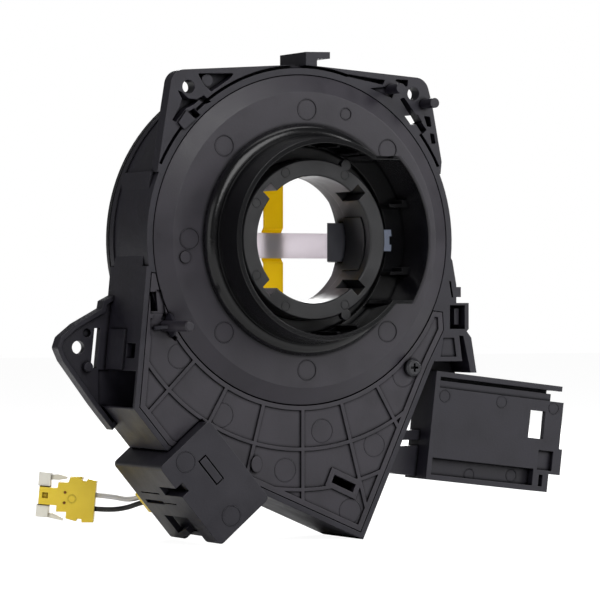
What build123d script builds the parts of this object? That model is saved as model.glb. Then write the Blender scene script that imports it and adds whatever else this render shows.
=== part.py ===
from build123d import *
import math
import os

# Steering clock spring: the spiral cable that links the column harness to the turning wheel.
# The column side faces -Y, the wheel side +Y, and +Z is up as it sits on the steering column.
# The origin is on the turning axis, in the rear face of the housing.

# Round housing
SEAM_R = 49.4           # round edge of the rear cover
FIT_GAP = 0.25          # clearance all round between moulded housing parts
DRUM_WALL = 1.9
CASE_DEPTH = 25.8       # rear face to the front lip
LIP_DEPTH = 2.6
LIP_PROUD = 0.4
CASE_WALL = 1.6         # walls of the lower box
COVER_T = 2.0           # thickness of the rear cover
LEDGE_W = 1.3           # ledge in the drum that carries the cover
LEDGE_T = 1.5
GROOVE_W = 0.4
GROOVE_T = 0.8
DRUM_IN_R = SEAM_R + FIT_GAP
DRUM_R = DRUM_IN_R + DRUM_WALL
LIP_R = DRUM_R + LIP_PROUD
EDGE_INSET = CASE_WALL + FIT_GAP

# Rear cover disc and collar
DISC_RISE = 2.7         # flat of the disc stands this far behind the seam
BEVEL_R = 44.3
COVE_R = 3.0
COLLAR_BASE_R = 31.5
COLLAR_RIM_R = 30.0
COLLAR_WALL = 1.5
COLLAR_REACH = 16.0     # rim of the collar behind the rear face
COLLAR_STEP = 0.35
BULGE_R = 34.2          # inner radius of the collar's side pocket
BULGE_WALL = 1.2
BULGE_TOP = 23.9
BULGE_BOTTOM = -18.0
BULGE_NOTCH_X = (16.2, 22.2)
BULGE_NOTCH_LOW = 24.3
BULGE_NOTCH_T = 3.0
POCKET_RIB_HEIGHTS = (10.5, -9.9)
POCKET_RIB_T = 1.0
POCKET_RIB_REAR = -6.5
POCKET_RIB_LUG = 1.3    # thicker rib end at the pocket's outer wall
LIP_IN_R = 28.2         # inner lip of the cover, round the hub
COLLAR_RIB_T = 1.0
COLLAR_RIB_H = 1.2
COLLAR_RIB_START = 2.4  # rib ends stand this far inside the rim
COLLAR_RIB_ANGLES = (66, 80, 100, 112, 157, 203, 248, 260, 280, 294)
MARK_R = 3.1            # ejector pin marks
MARK_T = 0.1
MARK_CIRCLE_R = 39.0
MARK_COUNT = 8
GATE_MARK = (13.2, 38.0)
GATE_MARK_R = 1.8
DISC_BOSS = (-40.5, -5.4)
DISC_BOSS_R = 1.7
DISC_BOSS_T = 0.5

# Lower box: outline of the case at the rear face, from the upper left round to the upper right
LEFT_TOP = (-51.6, -8.0)
LEFT_LOW = (-55.6, -50.0)
BEVEL_LOW = (-45.4, -62.1)
BOTTOM_TIP = (20.6, -90.5)
RIGHT_LOW = (44.4, -38.6)
RIGHT_KNEE = (50.4, -27.6)
RIGHT_TOP = (49.9, -20.2)
BOX_OUTLINE = [LEFT_TOP, LEFT_LOW, BEVEL_LOW, BOTTOM_TIP, RIGHT_LOW, RIGHT_KNEE, RIGHT_TOP]
SIDE_WALL_TOP = (-48.9, 20.0)
SIDE_WALL_T = 6.0
SIDE_WALL_REAR = 3.0

# Ribbed skirt of the cover
PANEL_T = 0.5           # panels between the ribs are sunk this much
RIB_W = 1.05
RIB_RINGS = (62.8, 74.9)
RIB_FIRST_R = 51.1
RIB_STEP_DEG = 15.0
RIB_COUNT = 7
SLOT_CENTRE = (13.9, -73.4)
SLOT_LEN = 8.0
SLOT_W = 2.6
SLOT_TILT = -24.0
OVAL_AT = (-15.8, -66.9)
OVAL_LEN = 4.8
OVAL_W = 3.4
OVAL_T = 0.5
BORDER_W = 1.6
SCREW_AT = (37.6, -38.6)
SCREW_HEAD_R = 2.6
SCREW_HEAD_T = 1.6
SCREW_EDGE = 0.6
SCREW_R = 1.25
SCREW_LEN = 9.0
SCREW_DRIVE = 2.6       # arm length of the cross recess
SCREW_DRIVE_W = 0.7
SCREW_GAP = 0.1
BOSS_R = 3.2
BOSS_END = 14.0
LEFT_PIN = (-45.6, -25.6)
LEFT_PIN_R = 1.6
LEFT_PIN_REACH = 17.1
LEFT_PIN_CHAMFER = 0.4
PIN_GUSSET_CUTS = [[(-45.9, -21.8), (-43.7, -23.3), (-44.5, -24.0), (-46.8, -23.8)],
                   [(-43.6, -27.4), (-41.6, -29.0), (-42.0, -30.2), (-44.4, -28.4)]]
CORNER_WINDOW = [(-50.6, -15.6), (-48.2, -15.6), (-47.7, -21.3), (-50.3, -21.3)]
CORNER_STEP = [(-48.4, -15.0), (-46.6, -15.0), (-45.4, -22.0), (-50.4, -22.0), (-50.4, -21.0), (-47.9, -21.0)]
CORNER_STEP_T = 0.7
KIDNEY = [(-50.4, -23.3), (-48.6, -23.6), (-48.3, -27.1), (-50.4, -28.8)]
KIDNEY_T = 0.5

# Mounting ears across the top
EAR_T = 4.6
EAR_FLOOR = 0.9
EAR_HOLE_X = 38.0
EAR_HOLE_Z = 44.9
EAR_HOLE_R = 2.0
EAR_CORNER_R = 4.6
EAR_OUTLINE = [(-48.2, 19.6), (-43.2, 49.7), (-4.0, 52.4), (4.0, 52.4), (42.4, 49.7), (44.6, 42.0),
               (48.0, 24.4), (47.6, 20.6)]
EAR_RADII = [0, EAR_CORNER_R, 0, 0, EAR_CORNER_R, 0, 0, 0]
EAR_GROOVE_W = 0.9
EAR_GROOVES = ((91, 42), (140, 15), (73, 19), (26, 13))     # start angle and span
GROOVE_TAIL = [(14.5, 49.6), (27.4, 47.4), (28.2, 48.8), (15.6, 50.2)]
POCKET_CORNER_R = 0.3
EAR_POCKETS = [
    [(-35.0, 48.9), (-33.0, 45.6), (-30.5, 43.7), (-24.4, 47.7), (-23.0, 49.3)],
    [(30.6, 49.2), (36.2, 49.1), (36.0, 47.2), (34.6, 46.9), (33.7, 47.9)],
    [(33.3, 43.2), (34.8, 43.7), (42.7, 34.0), (41.1, 32.7)],
    [(41.7, 38.4), (43.9, 38.0), (44.4, 34.9), (42.8, 35.1)],
    [(43.8, 33.1), (45.3, 32.8), (45.9, 29.9), (44.4, 29.8)],
]
CLIP_CUTS = [
    [(-41.5, 43.7), (-40.2, 43.3), (-38.0, 41.4), (-34.4, 41.2), (-36.2, 39.7), (-38.9, 38.4), (-42.2, 34.4),
     (-43.3, 34.9), (-41.0, 38.8), (-40.2, 41.3)],
    [(-35.2, 41.3), (-33.0, 42.5), (-30.6, 40.6), (-32.4, 39.9)],
    [(-38.2, 37.4), (-36.2, 38.6), (-34.1, 36.6), (-35.6, 35.4)],
]
CLIP_HOOK = [(-39.0, 37.8), (-35.9, 35.3), (-39.6, 32.2), (-41.6, 34.2)]
CLIP_HOOK_T = 0.6
EAR_BOSS = (-31.6, 47.0)
EAR_BOSS_R = 1.8
EAR_BOSS_SUNK = 0.6
EAR_RECESS = [(23.0, 46.2), (28.4, 46.8), (31.4, 45.9), (30.6, 43.4)]
EAR_RECESS_T = 1.2
EAR_WINDOW = [(34.9, 38.2), (36.0, 38.2), (39.6, 38.6), (41.0, 36.4), (37.9, 35.4), (37.2, 35.4)]
PIN_R = 1.5
PIN_REACH = 7.0
TOP_PINS = [(29.8, 46.0), (41.6, 41.9)]

# Block and clip box on the right of the case
BLOCK_OUTLINE = [(49.5, -2.0), (51.8, -6.0), (53.2, -13.4), (53.2, -18.9), (57.6, -18.9), (57.6, -26.9),
                 (56.9, -27.6), (58.5, -29.6), (60.4, -40.4), (58.2, -40.4), (57.5, -36.8), (45.6, -36.8),
                 (44.0, -30.0)]
BLOCK_DEPTH = 12.0
BLOCK_TAB = [(53.0, -14.0), (54.8, -14.0), (54.8, -17.1), (53.0, -17.1)]
BLOCK_TAB_T = 3.0
CLIP_POCKET = [(50.9, -19.6), (56.2, -19.6), (56.2, -26.9), (50.9, -26.9)]
CLIP_POCKET_T = 8.0
CLIP_TONGUE = [(53.6, -20.6), (55.2, -20.6), (55.2, -25.6), (53.6, -25.6)]
CLIP_TONGUE_T = 6.0
TRAPEZE = [(48.6, -29.6), (52.4, -29.6), (53.2, -35.4), (47.6, -35.4)]
TRAPEZE_T = 0.6
SIDE_SLOT = [(54.2, -28.9), (55.7, -29.1), (57.5, -37.0), (55.3, -37.0)]
BLOCK_GROOVE = [(50.6, -12.2), (51.2, -12.2), (52.1, -17.2), (51.5, -17.2)]
BLOCK_GROOVE_T = 1.0

# Hook rail on top
HOOK_OUTLINE = [(1.0, 51.0), (4.8, 51.0), (4.8, 54.5), (9.2, 54.7), (9.2, 56.7), (1.0, 56.5)]
HOOK_DEPTH = 17.0

# Ear on the left, at the front of the case
SIDE_EAR_T = 4.4
SIDE_EAR_PLATE_T = 2.4
SIDE_EAR_REAR = CASE_DEPTH - SIDE_EAR_T
SIDE_EAR_FLOOR = CASE_DEPTH - SIDE_EAR_PLATE_T
SIDE_EAR_BORDER = 1.4
SIDE_EAR_OUTLINE = [(-50.0, -15.4), (-55.8, -18.3), (-56.2, -20.5), (-64.8, -25.1), (-69.7, -29.0),
                    (-70.8, -32.2), (-69.0, -36.1), (-59.0, -49.3), (-52.8, -56.8), (-47.0, -50.0)]
SIDE_EAR_RADII = [0, 0, 0, 4.0, 1.8, 1.5, 1.5, 0, 0, 0]
SIDE_EAR_HOLE = (-63.2, -32.1)
SIDE_EAR_SLOT = [(-57.9, -26.4), (-56.0, -26.4), (-57.2, -38.3), (-59.2, -38.3)]
SIDE_EAR_DIMPLE = (-60.3, -27.8)
SIDE_EAR_DIMPLE_R = 1.3
SIDE_EAR_DIMPLE_T = 1.4
SIDE_EAR_BOSS = (-60.6, -37.9)
SIDE_EAR_BOSS_R = 1.4

# Snap window and gap in the left side wall, the pad beside them, and the slots in the bottom wall
SIDE_WINDOW_Z = (-35.1, -30.7)
SIDE_WINDOW_Y = (3.0, 9.0)
SIDE_GAP_Z = (-49.6, -38.8)
SIDE_GAP_Y = (1.2, 24.2)
SIDE_CUT_REACH = 6.2    # how far a cut from outside goes through the slanting wall
SIDE_PAD_Z = (-38.5, -26.6)
SIDE_PAD_Y = (10.0, 21.6)
SIDE_PAD_T = 0.7
BOTTOM_SLOT_XS = ((3.4, 9.0), (-5.2, 2.6))      # middle and length of each slot in the bottom wall
BOTTOM_SLOT_Y = (4.0, 7.0)

# Harness socket: a box turned about the Y axis, closed at the rear
SHROUD_CENTRE = (-31.8, -71.9)
SHROUD_TILT = -49.8
SHROUD_LEN = 30.7
SHROUD_W = 21.2
SHROUD_REAR = -5.0
SHROUD_DEPTH = 33.0
SHROUD_WALL = 1.8
SHROUD_CORNER_R = 1.5
SHROUD_BAR = (-4.3, 1.1)        # middle, length and width of the raised bar on the rear face
SHROUD_BAR_LEN = 8.4
SHROUD_BAR_W = 2.1
SHROUD_BAR_T = 0.4
# Cuts in the lower left wall: local X along the wall against depth
SHROUD_NOTCH = [(-7.4, 9.0), (-7.4, 1.5), (-8.0, -3.0), (-4.8, -3.0), (-3.9, 1.5), (-3.9, 9.0)]
SHROUD_SLITS = [[(-4.2, 26.0), (-3.3, 26.0), (-3.7, 12.0), (-4.2, 12.0)],
                [(-1.2, 26.0), (0.0, 26.0), (0.2, 9.0), (-0.4, 9.0)]]
SHROUD_WINDOW = [(5.1, 21.0), (4.5, 6.0), (8.6, 12.0), (10.4, 8.4), (13.2, 14.0), (13.2, 22.5), (10.8, 22.5)]
HARNESS_PIN_W = 0.64
HARNESS_PIN_LEN = 16.0
HARNESS_PIN_COLS = 5
HARNESS_PIN_PITCH = 2.2
HARNESS_PIN_X = -8.0
INSERT_X = (-0.8, 5.2)
INSERT_Y = (-8.1, -0.4)

# Switch tray on the right, tilted a little: local X to the right, local Y up from its upper left corner
TRAY_CORNER = (46.3, -39.7)
TRAY_TILT = -6.8
TRAY_LEN = 43.7
TRAY_H = 33.3
TRAY_DEPTH = 13.0
TRAY_WALL = 1.6
TRAY_PANEL_T = 1.8
TRAY_TOP_BAND = 5.0     # channel under the top wall, down to this height
TRAY_GROOVE_LOW = 2.7   # deep groove between the top wall and that channel
TRAY_GROOVE_T = 4.0
TRAY_TOP_BAND_T = 1.3
TRAY_LOW_BAND = 6.8     # channel over the bottom wall, up to this height
TRAY_BAND_T = 3.0       # depth of the lower channel
TRAY_STRIP_END = 45.6   # right end of the top wall
TRAY_EAR_END = 46.6     # right end of the panel
TRAY_NOTCH_X = 42.4
TRAY_EAR_LOW = 19.5
TRAY_WINDOW_X = (34.9, 40.3)
TRAY_WINDOW_Y = (-17.0, -8.4)
TRAY_LATCH_X = (39.2, 47.8)
TRAY_LATCH_Y = (-27.6, -19.5)
TRAY_LATCH_T = 5.0
TRAY_LATCH_FLOOR = 1.4
TRAY_RIB_X = (38.0, 39.4)
TRAY_SLOT_X = (40.2, 41.6)
TRAY_STUB = [(38.4, -58.0), (44.6, -58.0), (44.4, -61.0), (38.2, -61.0)]
TRAY_WEB = [(32.0, -62.8), (44.0, -62.8), (43.0, -72.2), (36.0, -71.4), (28.0, -69.0)]
TRAY_TIE = [(45.0, -36.0), (57.6, -36.0), (59.4, -41.6), (46.4, -40.2)]
TRAY_WEB_Y = (6.5, 11.0)

# Rotor
BORE_R = 19.0
SLEEVE_R = 24.0
SLEEVE_REACH = 7.5      # sleeve's face behind the rear face
BORE_LEN = 14.0
RELIEF_R = 19.5
SLEEVE_FRONT = 11.8
SLEEVE_EDGE = 0.4       # bevels of the sleeve's rear edges
NOTCH_W = 3.6
NOTCH_R = 22.2
NOTCH_DEPTH = 10.0
NOTCH_ANGLES = (44, 136, 224, 316)
LUG_R = 1.6
LUG_CIRCLE_R = 24.8
LUG_ANGLES = (64.5, -64.5)
LUG_T = 2.0
RUN_GAP = 0.3
SNAP_GAP = 0.15
HUB_FLOOR_T = 2.0       # ledge of the hub in front of the sleeve
HUB_FLOOR_FRONT = SLEEVE_FRONT + HUB_FLOOR_T
HUB_STEP = 0.5
HUB_IN_R = 28.0
HUB_WALL = 2.0
HUB_R = HUB_IN_R + HUB_WALL
HUB_REAR = 1.2
HUB_SHOULDER = 3.0
HUB_NECK_R = LIP_IN_R - RUN_GAP
FLANGE_T = 1.6
FLANGE_GAP = 0.9
FLANGE_REAR = CASE_DEPTH + FLANGE_GAP
FLANGE_FRONT = FLANGE_REAR + FLANGE_T
HUB_RING_T = 2.4
HUB_RING_W = 2.5
DRIVE_PEG_R = 3.0
DRIVE_PEG_CIRCLE_R = 41.0
DRIVE_PEG_REACH = 7.0
FLANGE_RIB_COUNT = 12
FLANGE_RIB_T = 1.2
FLANGE_RIB_H = 1.0

# Wheel-side socket on the front of the rotor
WHEEL_SOCKET_Z = 41.0
WHEEL_SOCKET_L = 22.0
WHEEL_SOCKET_H = 10.0
WHEEL_SOCKET_T = 13.0
WHEEL_SOCKET_WALL = 1.3
WHEEL_PIN_W = 0.64
WHEEL_PIN_LEN = 5.5
WHEEL_PIN_COUNT = 6
WHEEL_PIN_PITCH = 2.5

# Ribbon cable and its end blocks
RIBBON_T = 0.6
RIBBON_TURNS = 4
RIBBON_HUB_GAP = 2.4
RIBBON_DRUM_GAP = 2.85
RIBBON_IN_R = HUB_R + RIBBON_HUB_GAP
RIBBON_OUT_R = DRUM_IN_R - RIBBON_DRUM_GAP
SLIDER_HUB_GAP = 1.0
SLIDER_DRUM_GAP = 1.65
SLIDER_IN_R = HUB_R + SLIDER_HUB_GAP
SLIDER_OUT_R = DRUM_IN_R - SLIDER_DRUM_GAP
SLIDER_T = 0.4
RIBBON_REAR = COVER_T + RUN_GAP
RIBBON_W = FLANGE_REAR - SLIDER_T - RUN_GAP - RIBBON_REAR
END_BLOCK_W = 9.0
END_BLOCK_LOW = -56.0
END_BLOCK_D = CASE_DEPTH - CASE_WALL - FIT_GAP - RIBBON_REAR
INNER_BLOCK_GAP = 0.4
INNER_BLOCK_X = (SLEEVE_R + INNER_BLOCK_GAP, HUB_NECK_R - RUN_GAP)
INNER_BLOCK_NOTCH = 0.7
INNER_BLOCK_NOTCH_H = 2.6
INNER_BLOCK_H = 6.5
INNER_BLOCK_REAR = -5.0
INNER_BLOCK_FRONT = 7.0

# Transport lock in the bore
LOCK_BLOCK_X = 12.3
LOCK_BLOCK_TOP = 5.4
LOCK_BLOCK_LOW = -6.3
LOCK_REAR = 7.7
LOCK_GAP = 0.3
LOCK_HOOK_X = 16.5      # the front part of the block reaches out from here under the sleeve
LOCK_STRAP_X = 24.9     # where the block meets the strap
STRAP_T = 1.2
STRAP_TOP = 2.7
STRAP_LOW = -5.1
STRAP_HALF = 30.2
TAPE_T = 0.4
TAPE_X = (2.4, 9.1)
TAPE_HALF = 29.8
TAPE_STEP = 1.6         # the tape comes down to the hub's ring over this much beside the strap

# Airbag lead, its plug and the plug's grey lock
LEAD_R = 0.78
INSERT_FRONT = 22.5     # the leads leave the insert inside the socket
PLUG_END = (-47.6, 46.0, -79.5)     # middle of the end where the leads go in
PLUG_YAW = 27.5         # the plug's face is turned this much from the column side
PLUG_TILT = 5.0
PLUG_T = 6.5
WHITE_LEAD_Y = 1.9      # local places on the plug: X towards the leads, Y up, from its end
BLACK_LEAD_Y = -2.3
PLUG_OUTLINE = [(0, -6.3), (0, 6.4), (-2.6, 6.8), (-2.9, 6.1), (-4.2, 6.1), (-4.5, 7.2), (-8.0, 6.9),
                (-8.4, 5.1), (-11.5, 4.9), (-11.6, 3.2), (-17.1, 3.2), (-17.1, -2.1), (-11.5, -2.1),
                (-11.5, -4.0), (-8.4, -3.8), (-8.4, -5.8), (-5.2, -6.4), (-5.0, -5.6), (-3.6, -5.6),
                (-3.4, -6.6)]
PLUG_HOLE = (-15.2, 0.7)
PLUG_HOLE_W = 1.7
PLUG_HOLE_T = 0.8
LEAD_LAST_RUNS = (4.87, 4.4)
WHITE_ROUTE = [(-32.0, INSERT_FRONT, -76.3), (-32.0, 28.6, -76.1), (-32.0, 34.54, -76.3),
               (-33.76, 38.52, -77.5), (-38.02, 41.72, -79.26)]
BLACK_ROUTE = [(-34.2, INSERT_FRONT, -79.1), (-34.2, 28.4, -78.9), (-34.2, 34.2, -79.1), (-35.8, 38.6, -79.9),
               (-39.0, 42.0, -81.6)]
TERMINAL_R = 0.9
TERMINAL_LEN = 9.0
PLUG_LOCK_GAP = 0.3
PLUG_LOCK_FACE = 0.6    # how far the lock's cheeks stay below the plug's face
PLUG_LOCK_X = (-17.6, -14.0)
PLUG_LOCK_Y = (-6.0, 7.6)
PLUG_LOCK_NOSE = (-2.1, 3.2)
PLUG_LOCK_FINGERS = [[(-14.5, 5.5), (-14.5, 6.9), (-11.5, 7.3), (-9.1, 6.9), (-9.1, 6.2), (-11.5, 5.6)],
                     [(-14.5, -4.8), (-12.5, -4.7), (-9.2, -6.0), (-9.4, -6.7), (-14.5, -6.0)]]
PLUG_LOCK_FINGER_T = 1.6
PLUG_LOCK_BACK_T = 1.4


def facing(y):
    """Sketch plane at depth y with local axes X and Z; a negative extrusion goes forward from it."""
    return Plane.XZ.offset(-y)


def polar(radius, angle):
    """Point of the X-Z plane at a radius and an angle in degrees from +X."""
    return (radius * math.cos(math.radians(angle)), radius * math.sin(math.radians(angle)))


def tilted(corner, y, tilt):
    """Plane facing the column side with its origin at corner and its local X axis turned by tilt degrees."""
    x_axis = (math.cos(math.radians(tilt)), 0, math.sin(math.radians(tilt)))
    return Plane(origin=(corner[0], y, corner[1]), x_dir=x_axis, z_dir=(0, -1, 0))


def plug_plane():
    """Plane of the airbag plug's mid face: local X towards the leads, local Y up, facing the column side."""
    yaw, tilt = math.radians(PLUG_YAW), math.radians(PLUG_TILT)
    along = (math.cos(yaw) * math.cos(tilt), -math.sin(yaw) * math.cos(tilt), -math.sin(tilt))
    return Plane(origin=PLUG_END, x_dir=along, z_dir=(-math.sin(yaw), -math.cos(yaw), 0))


def plug_point(x, y):
    """Place of a local point of the plug's mid face."""
    return tuple(plug_plane().from_local_coords((x, y, 0)))


def outline(points, radii=0.0, mode=Mode.ADD):
    """Face inside a closed outline; radii is one corner radius, or a list with one for each corner."""
    with BuildLine() as edge_line:
        if radii == 0:
            Polyline(*points, close=True)
        else:
            FilletPolyline(*points, radius=radii, close=True)
    make_face(edge_line.edges(), mode=mode)


def block(x_range, y_range, mode=Mode.ADD):
    """Rectangle between two X and two local Y values."""
    with Locations(((x_range[0] + x_range[1]) / 2, (y_range[0] + y_range[1]) / 2)):
        Rectangle(abs(x_range[1] - x_range[0]), abs(y_range[1] - y_range[0]), mode=mode)


def ring(outer, inner):
    """Flat ring about the turning axis."""
    Circle(outer)
    Circle(inner, mode=Mode.SUBTRACT)


def bend_radii(route):
    """Largest arc for each corner of a lead: 0.45 of its shorter run over the tangent of half the turn."""
    radii = []
    for before, corner, after in zip(route, route[1:], route[2:]):
        run_in = Vector(*corner) - Vector(*before)
        run_out = Vector(*after) - Vector(*corner)
        half_turn = math.radians(run_in.get_angle(run_out)) / 2
        radii.append(0.45 * min(run_in.length, run_out.length) / math.tan(half_turn))
    return radii


def inner_block_outline(x_range, height, gap):
    """Outline of the inner terminal block, grown by gap on the sides towards the hub."""
    block((x_range[0], x_range[1]), (-height / 2 - gap, height / 2 + gap))
    Circle(x_range[1] + gap / 2, mode=Mode.INTERSECT)


def side_wall_x(z):
    """X of the left wall's outer face at a height."""
    share = (z - LEFT_TOP[1]) / (LEFT_LOW[1] - LEFT_TOP[1])
    return LEFT_TOP[0] + share * (LEFT_LOW[0] - LEFT_TOP[0])


def finish(build, name):
    """Label a finished piece and write its file."""
    build.part.label = name
    export_step(build.part, f"parts/{name}.step")


os.makedirs("parts", exist_ok=True)

# Rear cover: disc with a bevelled edge, a coved collar with a side pocket, and the ribbed skirt
with BuildPart() as rear_cover:
    with BuildSketch(Plane.XY):
        with BuildLine():
            Polyline((COLLAR_BASE_R - COLLAR_STEP, -DISC_RISE - COVE_R - 1), (COLLAR_RIM_R, -COLLAR_REACH),
                     (COLLAR_RIM_R - COLLAR_WALL, -COLLAR_REACH), (COLLAR_BASE_R - 1.9, -DISC_RISE + COVER_T),
                     (LIP_IN_R, -DISC_RISE + COVER_T), (LIP_IN_R, COVER_T - 1),
                     (BULGE_R + BULGE_WALL, COVER_T - 1), (BULGE_R + BULGE_WALL + 1, -DISC_RISE + COVER_T),
                     (BEVEL_R - 0.4, -DISC_RISE + COVER_T), (SEAM_R - 0.6, COVER_T), (SEAM_R, COVER_T),
                     (SEAM_R, 0), (BEVEL_R, -DISC_RISE), (COLLAR_BASE_R + COVE_R, -DISC_RISE))
            RadiusArc((COLLAR_BASE_R + COVE_R, -DISC_RISE), (COLLAR_BASE_R, -DISC_RISE - COVE_R), COVE_R)
            Polyline((COLLAR_BASE_R, -DISC_RISE - COVE_R), (COLLAR_BASE_R, -DISC_RISE - COVE_R - 1),
                     (COLLAR_BASE_R - COLLAR_STEP, -DISC_RISE - COVE_R - 1))
        make_face()
    revolve(axis=Axis.Y)
    # Side pocket of the collar: its wall first, then its hollow
    with BuildSketch(facing(-COLLAR_REACH)):
        block((0, BULGE_R + BULGE_WALL), (BULGE_BOTTOM - BULGE_WALL, BULGE_TOP + BULGE_WALL))
        Circle(BULGE_R + BULGE_WALL, mode=Mode.INTERSECT)
        Circle(COLLAR_RIM_R - COLLAR_WALL, mode=Mode.SUBTRACT)
    extrude(amount=-(COLLAR_REACH - DISC_RISE + COVER_T))
    with BuildSketch(facing(-COLLAR_REACH)):
        block((0, BULGE_R), (BULGE_BOTTOM, BULGE_TOP))
        Circle(BULGE_R, mode=Mode.INTERSECT)
    extrude(amount=-(COLLAR_REACH - DISC_RISE + COVER_T), mode=Mode.SUBTRACT)
    # Slot in the pocket's upper rim, and two ribs on the pocket's floor
    with BuildSketch(facing(-COLLAR_REACH)):
        block(BULGE_NOTCH_X, (BULGE_NOTCH_LOW, BULGE_TOP + 2 * BULGE_WALL))
    extrude(amount=-BULGE_NOTCH_T, mode=Mode.SUBTRACT)
    with BuildSketch(facing(POCKET_RIB_REAR)):
        for height in POCKET_RIB_HEIGHTS:
            block((SLEEVE_R, BULGE_R + BULGE_WALL / 2),
                  (height - POCKET_RIB_T / 2, height + POCKET_RIB_T / 2))
            block((COLLAR_BASE_R - 1, BULGE_R + BULGE_WALL / 2),
                  (height - POCKET_RIB_T / 2, height + POCKET_RIB_T / 2 + POCKET_RIB_LUG))
        Circle(BULGE_R + BULGE_WALL / 2, mode=Mode.INTERSECT)
        Circle(LIP_IN_R, mode=Mode.SUBTRACT)
    extrude(amount=-(COVER_T - DISC_RISE - POCKET_RIB_REAR))
    # Short ribs inside the collar
    with BuildSketch(facing(-COLLAR_REACH + COLLAR_RIB_START)):
        for angle in COLLAR_RIB_ANGLES:
            with Locations(Location(polar(COLLAR_RIM_R - COLLAR_WALL + 0.6, angle), angle)):
                Rectangle(COLLAR_RIB_H + 1.2, COLLAR_RIB_T)
    extrude(amount=-(COLLAR_REACH - COLLAR_RIB_START - DISC_RISE + COVER_T))
    # Ribbed skirt below the disc, its edge inside the walls of the case
    with BuildSketch(facing(0)):
        outline(BOX_OUTLINE)
        offset(amount=-EDGE_INSET, kind=Kind.INTERSECTION, mode=Mode.REPLACE)
        Circle(SEAM_R - 0.6, mode=Mode.SUBTRACT)
    extrude(amount=-COVER_T)
    # Seam groove round the disc
    with BuildSketch(facing(0)):
        ring(SEAM_R + GROOVE_W, SEAM_R)
    extrude(amount=-GROOVE_T, mode=Mode.SUBTRACT)
    # Sunk panels between the ribs
    with BuildSketch(facing(0)):
        outline(BOX_OUTLINE)
        offset(amount=-EDGE_INSET - BORDER_W, kind=Kind.INTERSECTION, mode=Mode.REPLACE)
        Circle(RIB_FIRST_R, mode=Mode.SUBTRACT)
        for radius in RIB_RINGS:
            with BuildSketch(mode=Mode.SUBTRACT):
                ring(radius + RIB_W / 2, radius - RIB_W / 2)
        for index in range(RIB_COUNT):
            angle = -90 + (index - RIB_COUNT // 2) * RIB_STEP_DEG
            with Locations(Location(polar(RIB_FIRST_R - 1, angle), angle)):
                Rectangle(RIB_FIRST_R, RIB_W, align=(Align.MIN, Align.CENTER), mode=Mode.SUBTRACT)
        with Locations(Location(SLOT_CENTRE, SLOT_TILT)):
            Rectangle(SLOT_LEN + 2 * BORDER_W, SLOT_W + 2 * BORDER_W, mode=Mode.SUBTRACT)
    extrude(amount=-PANEL_T, mode=Mode.SUBTRACT)
    with BuildSketch(facing(0)):
        with Locations(Location(SLOT_CENTRE, SLOT_TILT)):
            Rectangle(SLOT_LEN, SLOT_W)
    extrude(amount=-COVER_T, mode=Mode.SUBTRACT)
    # Ejector pin and gate marks on the disc, its small boss, and the oval one on the skirt
    with BuildSketch(facing(-DISC_RISE)):
        with PolarLocations(MARK_CIRCLE_R, MARK_COUNT):
            Circle(MARK_R)
        with Locations(GATE_MARK):
            Circle(GATE_MARK_R)
    extrude(amount=-MARK_T, mode=Mode.SUBTRACT)
    with BuildSketch(facing(-DISC_RISE - DISC_BOSS_T)):
        with Locations(DISC_BOSS):
            Circle(DISC_BOSS_R)
    extrude(amount=-2 * DISC_BOSS_T)
    with BuildSketch(facing(-OVAL_T)):
        with Locations(OVAL_AT):
            Ellipse(OVAL_W / 2, OVAL_LEN / 2)
    extrude(amount=-2 * OVAL_T)
    # Window, step and kidney at the upper left corner
    with BuildSketch(facing(0)):
        outline(CORNER_WINDOW)
        for points in PIN_GUSSET_CUTS:
            outline(points)
    extrude(amount=-COVER_T, mode=Mode.SUBTRACT)
    with BuildSketch(facing(0)):
        outline(CORNER_STEP)
    extrude(amount=-CORNER_STEP_T, mode=Mode.SUBTRACT)
    with BuildSketch(facing(0)):
        outline(KIDNEY, POCKET_CORNER_R)
    extrude(amount=-KIDNEY_T, mode=Mode.SUBTRACT)
    # Room for the harness socket
    with BuildSketch(tilted(SHROUD_CENTRE, 0, SHROUD_TILT)):
        Rectangle(SHROUD_LEN + 2 * FIT_GAP, SHROUD_W + 2 * FIT_GAP)
    extrude(amount=-COVER_T, mode=Mode.SUBTRACT)
    # Screw hole, and the left locating pin
    with BuildSketch(facing(0)):
        with Locations(SCREW_AT):
            Circle(SCREW_R + SCREW_GAP)
    extrude(amount=-COVER_T, mode=Mode.SUBTRACT)
    with BuildSketch(facing(0)):
        with Locations(LEFT_PIN):
            Circle(LEFT_PIN_R)
    extrude(amount=LEFT_PIN_REACH)
    chamfer(rear_cover.faces().sort_by(Axis.Y)[0].edges(), LEFT_PIN_CHAMFER)
finish(rear_cover, "rear_cover")

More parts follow.
